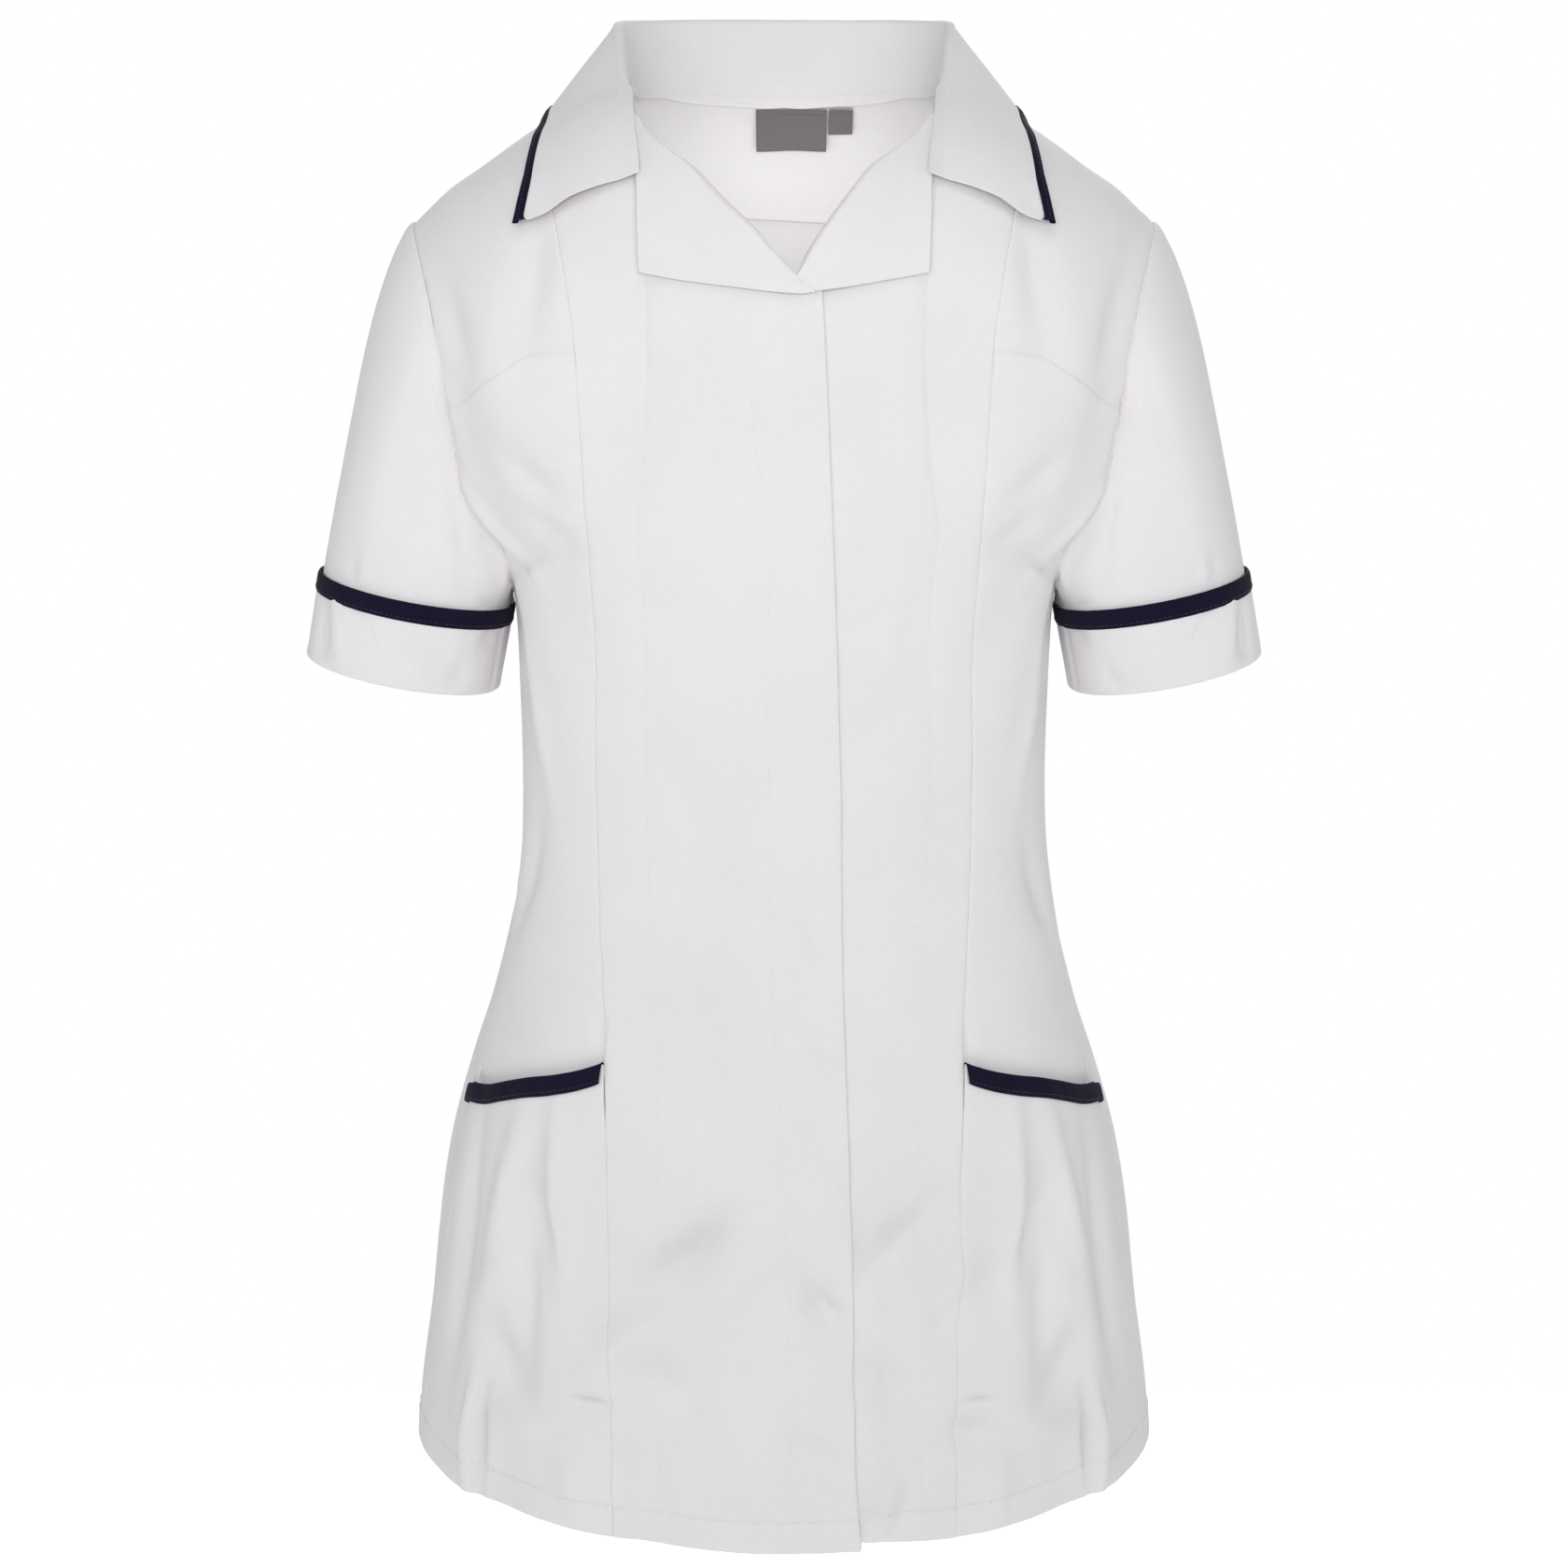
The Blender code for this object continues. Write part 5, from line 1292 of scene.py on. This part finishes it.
def sleeve_points(columns, rows):
    """Fine points and normals of the left sleeve, from the armhole to the cuff."""
    loop, turn = armhole_loop(columns)
    start, normal = body(loop[:, 0], loop[:, 1], SLEEVE_OFF)
    end, _ = cuff_point(turn, 0.0)
    axis = np.array((math.sin(CUFF_TILT), 0, -math.cos(CUFF_TILT)))
    # Each column is a curve that leaves the shoulder outwards and reaches the cuff along its axis
    high = ((1 + np.cos(np.radians(turn))) / 2)[:, None]
    forward = -np.sin(np.radians(turn))[:, None]
    leave = unit(np.concatenate([0.22 + 0.5 * high, 0.16 * forward, -0.98 + 0.28 * high], axis=1))
    reach = np.linalg.norm(end - start, axis=1)[:, None]
    first = start + leave * reach * (0.36 - 0.24 * high)
    second = end - axis * reach * (0.36 + 0.2 * high)
    length = float(reach.mean())
    even = np.linspace(SEAM_STEPS[-1] / length, 1, rows)[1:]
    t = np.concatenate([np.array(SEAM_STEPS) / length, even])[:, None, None]
    points = start * (1 - t) ** 3 + first * 3 * t * (1 - t) ** 2 + second * 3 * t * t * (1 - t) + end * t ** 3
    # One row in front, inside the armhole, and ten rows behind, under the cuff
    tangent = unit(np.roll(start, -1, axis=0) - np.roll(start, 1, axis=0))
    into_body = unit(np.cross(normal, tangent))
    into_body = into_body if into_body[:, 0].sum() < 0 else -into_body
    lower = cuff_point(turn[None], np.linspace(3.0, CUFF_HEIGHT - 5.0, 10)[:, None])[0]
    points = np.concatenate([start[None] + into_body * SLEEVE_LAP, points, lower])
    normals = grid_normals(points, closed=True)
    normals = oriented(normals, points - points.mean(axis=1, keepdims=True))
    down = lengths_along(points.transpose(1, 0, 2)).T
    share = np.minimum(down / down[len(t):len(t) + 1], 1.0)
    off = seam(down, lengths_along(points), pucker=0.35, raised=0.3, phase=0.9, deep=0.1) + wobble(points)
    for place, along, wide, long, depth in SLEEVE_CREASES:
        across = wrapped(turn[None] - place) / wide
        off = off + depth * np.exp(-across ** 2 - ((share - along) / long) ** 2)
    off = np.where(share < 1.0, off * np.maximum(ease(1.02, 0.9, share), 0.25), 0.0)
    return points + normals * off[..., None], normals


def make_sleeve(side, word):
    """Sleeve from the armhole down into its cuff."""
    tube("sleeve_" + word, side, *sleeve_points(ROUND_STEPS, SLEEVE_ROWS), "hung")


def round_turns():
    """Turns of the columns round a cuff, as one row."""
    return np.arange(ROUND_STEPS)[None] * 360.0 / ROUND_STEPS


def cuff_profile():
    """Distances down and off the sleeve, from under the binding, down the cuff and up inside it."""
    top, low = CUFF_TRIM_WIDTH, CUFF_HEIGHT
    rows = [(top - 1.5, CUFF_PROUD - 0.1)]
    rows += [(top + (low - 3 - top) * k / 12, CUFF_PROUD) for k in range(13)]
    rows += [(low - above, off) for above, off in CUFF_TURN]
    return np.array(rows).T[..., None]


def make_cuff(side, word):
    """The sleeve's turned-up cuff, with its creases and the seam along its inner side."""
    turn = round_turns()
    down, proud = cuff_profile()
    outside = (np.arange(len(down)) < CUFF_OUTER_ROWS)[:, None]
    visible = ease(CUFF_HEIGHT - 1.0, CUFF_HEIGHT - 6.0, down) * outside
    off = 0.5 * wave(turn / 360.0 * 330.0, 64.0, 0.8 * side) * ease(CUFF_TRIM_WIDTH, CUFF_HEIGHT, down)
    for place, height, wide, high, lean, depth in CUFF_CREASES:
        across = wrapped(turn - place - lean * (down - height) / 10.0) / wide
        off = off + depth * np.exp(-across ** 2 - ((down - height) / high) ** 2)
    off = off + 0.12 * wave(turn * 0.9, 13.0)
    points, normals = cuff_point(turn, down, proud)
    points = points + normals * (off * visible)[..., None]
    facing = oriented(grid_normals(points, closed=True), normals)
    # The seam along the inner side is a groove with its raised allowance beside it
    place = wrapped(turn - CUFF_SEAM_TURN)
    groove = 0.8 * np.exp(-(place / 1.5) ** 2) - 0.5 * ease(0.0, 2.5, place) * ease(11.0, 6.0, place)
    points = points - normals * (groove * outside)[..., None]
    tube("cuff_" + word, side, points, facing, "folded")


def make_cuff_trim(side, word):
    """The binding on the cuff's top edge, with its stitches."""
    turn = round_turns()
    down, proud = np.array(CUFF_TRIM_PROFILE).T[..., None]
    points, normals = cuff_point(turn, down, proud)
    points = points + normals * (0.1 * wave(turn * 0.9, 8.0, 0.4))[..., None]
    facing = oriented(grid_normals(points, closed=True), normals)
    name = "cuff_trim_" + word
    ring, ring_normals = [mirrored(np.concatenate([grid[TRIM_STITCH_ROW], grid[TRIM_STITCH_ROW, :1]]), side)
                          for grid in (points, normals)]
    thread = (name + "_stitches", ring, ring_normals, TRIM_THREAD)
    tube(name, side, points, facing, "stretched", threads=[thread], slot="navy_trim", thickness=TRIM_CLOTH)


def clear_of_body(points, clear):
    """Moves points of the collar off the body cloth, forwards or backwards."""
    x, y, z = points[..., 0], points[..., 1], points[..., 2]
    front = angle_at(np.where(np.abs(x) > 0.01, x, 0.01), z, False)
    rear = angle_at(np.where(np.abs(x) > 0.01, x, 0.01), z, True)
    angle = np.where(y > SHOULDER_Y, rear, front)
    surface, normal = body(angle, z)
    off = ((points - surface) * normal).sum(axis=-1)
    short = np.maximum(clear - off, 0.0) * ease(-0.5, -9.0, z - ridge(x))
    return points + normal * short[..., None]


CollarLines = namedtuple("CollarLines", "stand fold edge outward length rolled")


def collar_lines(share):
    """Lines of the collar's left half, from the neck seam over the fold, at shares from its centre back."""
    seam_line, fold, edge = [np.stack([spline(COLLAR, share, 3 * k + c) for c in (1, 2, 3)], axis=-1)
                             for k in range(3)]
    up = np.array((0.0, 0.0, 1.0))
    outward = unit((fold + (0.0, 14.0, 0.0)) * (1.0, 1.0, 0.0))
    swing = ease(*FOLD_TURNS, share)[:, None]
    outward = unit(outward * (1 - swing) + np.array((0.9, -0.45, 0.0)) * swing)
    toward = unit(edge - fold)

    # The fold is a half round at the back and flattens on the body towards the front
    rolled = (1 - ease(*FOLD_FLATTENS, share))[:, None]
    clear = (COLLAR_CLEAR * (1 - rolled))[:, 0]
    top = []
    for part in np.linspace(0, 1, FOLD_ROWS):
        turn = math.pi * part
        arc = fold - outward * FOLD_RADIUS * math.cos(turn) + up * (-2.1 + 2.7 * math.sin(turn))
        flat = clear_of_body(fold + toward * FOLD_REACH * part, clear)
        top.append(flat * (1 - rolled) + arc * rolled)

    # The stand is tucked in below the neck seam at the back, and past its end it lies under the fold
    behind = 1 - ease(*TUCK_ENDS, share)[:, None]
    uneven = 0.4 * wave(share * 190.0, 27.0, 0.6)[:, None]
    drop = TUCK_DEPTH + TUCK_MORE * ease(*TUCK_DEEPENS, share)[:, None]
    stand_low = seam_line - outward * (2.1 + 1.0 * behind) + up * (0.9 + (uneven - drop) * behind)
    past_end = ease(STAND_END - 0.03, STAND_END + 0.05, share)[:, None]
    stand_low = stand_low * (1 - past_end) + (top[0] - toward * 2.2) * past_end
    met = (0.7 * ease(*STAND_JOINS, share))[:, None] * (1 - past_end)
    top[0] = top[0] * (1 - met) + stand_low * met
    stand = [stand_low + (top[0] - stand_low) * f for f in STAND_SHARES]
    length = np.linalg.norm(edge - top[-1], axis=1)
    return CollarLines(stand, top, edge, outward, length, rolled)


def collar_leaf(lines, f):
    """Line on the leaf of the collar at a share f (an array) of its width."""
    near_fold = np.sin(math.pi * np.clip(f / 0.6, 0, 1))
    near_tip = np.sin(math.pi * np.clip((f - 0.5) / 0.5, 0, 1))
    end = END_BOW_OUT * near_tip - END_BOW_IN * near_fold
    along = np.linspace(0, 1, len(f))
    bow = (end * ease(0.90, 1.0, along))[:, None]
    f = f[:, None]
    fullness = lines.outward * LEAF_FULLNESS * np.sin(math.pi * f) * lines.rolled
    ahead = unit(np.gradient(lines.edge, axis=0))
    point = lines.fold[-1] * (1 - f) + lines.edge * f + fullness + ahead * bow
    clear = COLLAR_CLEAR + COLLAR_CLEAR_MORE * np.sin(math.pi * f) * (1 - lines.rolled)
    return clear_of_body(point, clear[:, 0])


def both_sides(lines):
    """A grid from lines of the left half, with its mirror image on the right."""
    left = np.stack(lines)
    return np.concatenate([mirrored(left[:, :0:-1], -1), left], axis=1)


def make_collar():
    """Collar with its rolled fold, up to the binding along its outer edge."""
    share = np.concatenate([np.linspace(0, 0.985, 96), [0.992, 0.997, 1.0]])
    lines = collar_lines(share)
    # The binding takes up more of the leaf at its rounded corner
    corner = np.clip((share - COLLAR_CORNER_SHARE) / (1 - COLLAR_CORNER_SHARE), 0.0, 1.0)
    trim = COLLAR_TRIM_WIDTH + COLLAR_CORNER_MORE * (1 - np.sqrt(1 - corner ** 2))
    steps = np.concatenate([[0.03], np.linspace(0.07, 1.0, 24)])
    leaf = [collar_leaf(lines, f * (1 - (trim - 1.0) / lines.length)) for f in steps]
    grid = both_sides(lines.stand + lines.fold + leaf)
    for _ in range(2):
        grid[1:-1, 1:-1] = (grid[1:-1, 1:-1] * 4 + grid[:-2, 1:-1] + grid[2:, 1:-1]
                            + grid[1:-1, :-2] + grid[1:-1, 2:]) / 8
    # At the centre back the leaf faces backwards
    normals = grid_normals(grid)
    middle = grid.shape[1] // 2
    if normals[-6, middle, 1] < 0:
        normals = -normals
    grid = grid + normals * (0.7 * wobble(grid))[..., None]
    near = np.abs(np.concatenate([-share[:0:-1], share])) < 0.5
    row = EDGE_STITCH_ROW
    thread = ("collar_stitches", grid[row, near], normals[row, near], FINE_THREAD)
    piece("collar", grid, normals, "folded", [thread], nodes=("collar_stand", "collar_fall"))
    make_collar_trim(lines, trim)


def make_collar_trim(lines, trim):
    """The binding over the collar's outer edge and back behind it; trim is its width along the edge."""
    rows = []
    for share, added, _ in COLLAR_TRIM_PROFILE:
        rows.append(collar_leaf(lines, 1 - (share * trim + added) / lines.length))
    grid = both_sides(rows)
    facing = grid_normals(grid[:6])[2:3]
    if facing[0, grid.shape[1] // 2, 1] < 0:
        facing = -facing
    offs = np.array([off for _, _, off in COLLAR_TRIM_PROFILE])[:, None, None]
    points = grid + facing * offs
    # Rows that stand off the leaf are on its visible face
    normals = oriented(grid_normals(points), np.broadcast_to(facing, points.shape) * (offs > 0.2))
    row = EDGE_STITCH_ROW
    thread = ("collar_trim_stitches", points[row], facing[0], FINE_THREAD)
    piece("collar_trim", points, normals, "stretched", [thread], "navy_trim", thickness=COLLAR_TRIM_CLOTH)


def make_lamp(name, place, towards, size, watts, seen):
    """A soft lamp."""
    data = bpy.data.lights.new(name, "AREA")
    data.shape = "RECTANGLE"
    data.size, data.size_y = size
    data.energy = watts
    made = new_object(name, data)
    made.visible_camera = seen
    made.location = place
    made.rotation_euler = (Vector(towards) - Vector(place)).to_track_quat("-Z", "Y").to_euler()


def make_camera():
    """The camera, at the photograph's angle."""
    camera = bpy.data.cameras.new("camera")
    camera.lens = CAMERA_LENS
    camera.sensor_width = 36.0
    stand = new_object("camera", camera)
    stand.location = CAMERA_PLACE
    stand.rotation_euler = (math.radians(CAMERA_PITCH), 0.0, 0.0)
    bpy.context.scene.camera = stand


def make_floor():
    """A pale floor that glows almost as white as the surroundings."""
    floor = bpy.data.meshes.new("floor")
    half = FLOOR_HALF
    corners = [(-half, -half, FLOOR_Z), (half, -half, FLOOR_Z), (half, half, FLOOR_Z), (-half, half, FLOOR_Z)]
    floor.from_pydata(corners, [], [(0, 1, 2, 3)])
    pale = bpy.data.materials.new("pale_floor")
    pale.use_nodes = True
    shader = pale.node_tree.nodes["Principled BSDF"]
    shader.inputs["Base Color"].default_value = (0.4, 0.4, 0.4, 1)
    shader.inputs["Roughness"].default_value = 1.0
    shader.inputs["Specular IOR Level"].default_value = 0.0
    shader.inputs["Emission Color"].default_value = (1, 1, 1, 1)
    shader.inputs["Emission Strength"].default_value = 0.95
    floor.materials.append(pale)
    ground = new_object("floor", floor)


def make_surroundings():
    """Surroundings that the camera sees as white and that light the tunic more softly."""
    world = bpy.data.worlds.new("studio")
    world.use_nodes = True
    tree = world.node_tree
    background = tree.nodes["Background"]
    background.inputs["Color"].default_value = (1, 1, 1, 1)
    background.inputs["Strength"].default_value = SURROUNDING_LIGHT
    seen = tree.nodes.new("ShaderNodeBackground")
    seen.inputs["Color"].default_value = (1, 1, 1, 1)
    seen.inputs["Strength"].default_value = 1.0
    path = tree.nodes.new("ShaderNodeLightPath")
    mix = tree.nodes.new("ShaderNodeMixShader")
    tree.links.new(path.outputs["Is Camera Ray"], mix.inputs["Fac"])
    tree.links.new(background.outputs["Background"], mix.inputs[1])
    tree.links.new(seen.outputs["Background"], mix.inputs[2])
    tree.links.new(mix.outputs["Shader"], tree.nodes["World Output"].inputs["Surface"])
    bpy.context.scene.world = world


def make_studio():
    """Camera, floor, surroundings and lamps."""
    bpy.context.scene.view_settings.view_transform = "Standard"
    make_camera()
    make_floor()
    make_surroundings()
    for row in LAMPS:
        make_lamp(*row)


make_studio()
make_front(-1, "right", ROLL_RIGHT, FRONT_TOP_RIGHT)
make_front(1, "left", ROLL_LEFT, FRONT_TOP_LEFT, UNDERLAP, UNDER_HEM_RISE)
make_back()
make_facing()
make_labels()
make_collar()
make_revers(-1, "right", ROLL_RIGHT, ROLL_END_RIGHT, REVERS_BOTTOM_RIGHT, 1.0)
make_revers(1, "left", ROLL_LEFT, ROLL_END_LEFT, REVERS_BOTTOM_LEFT, 0.0)
for side, word in ((-1, "right"), (1, "left")):
    make_side_front(side, word)
    make_pocket(side, word)
    make_pocket_trim(side, word)
    make_sleeve(side, word)
    make_cuff(side, word)
    make_cuff_trim(side, word)
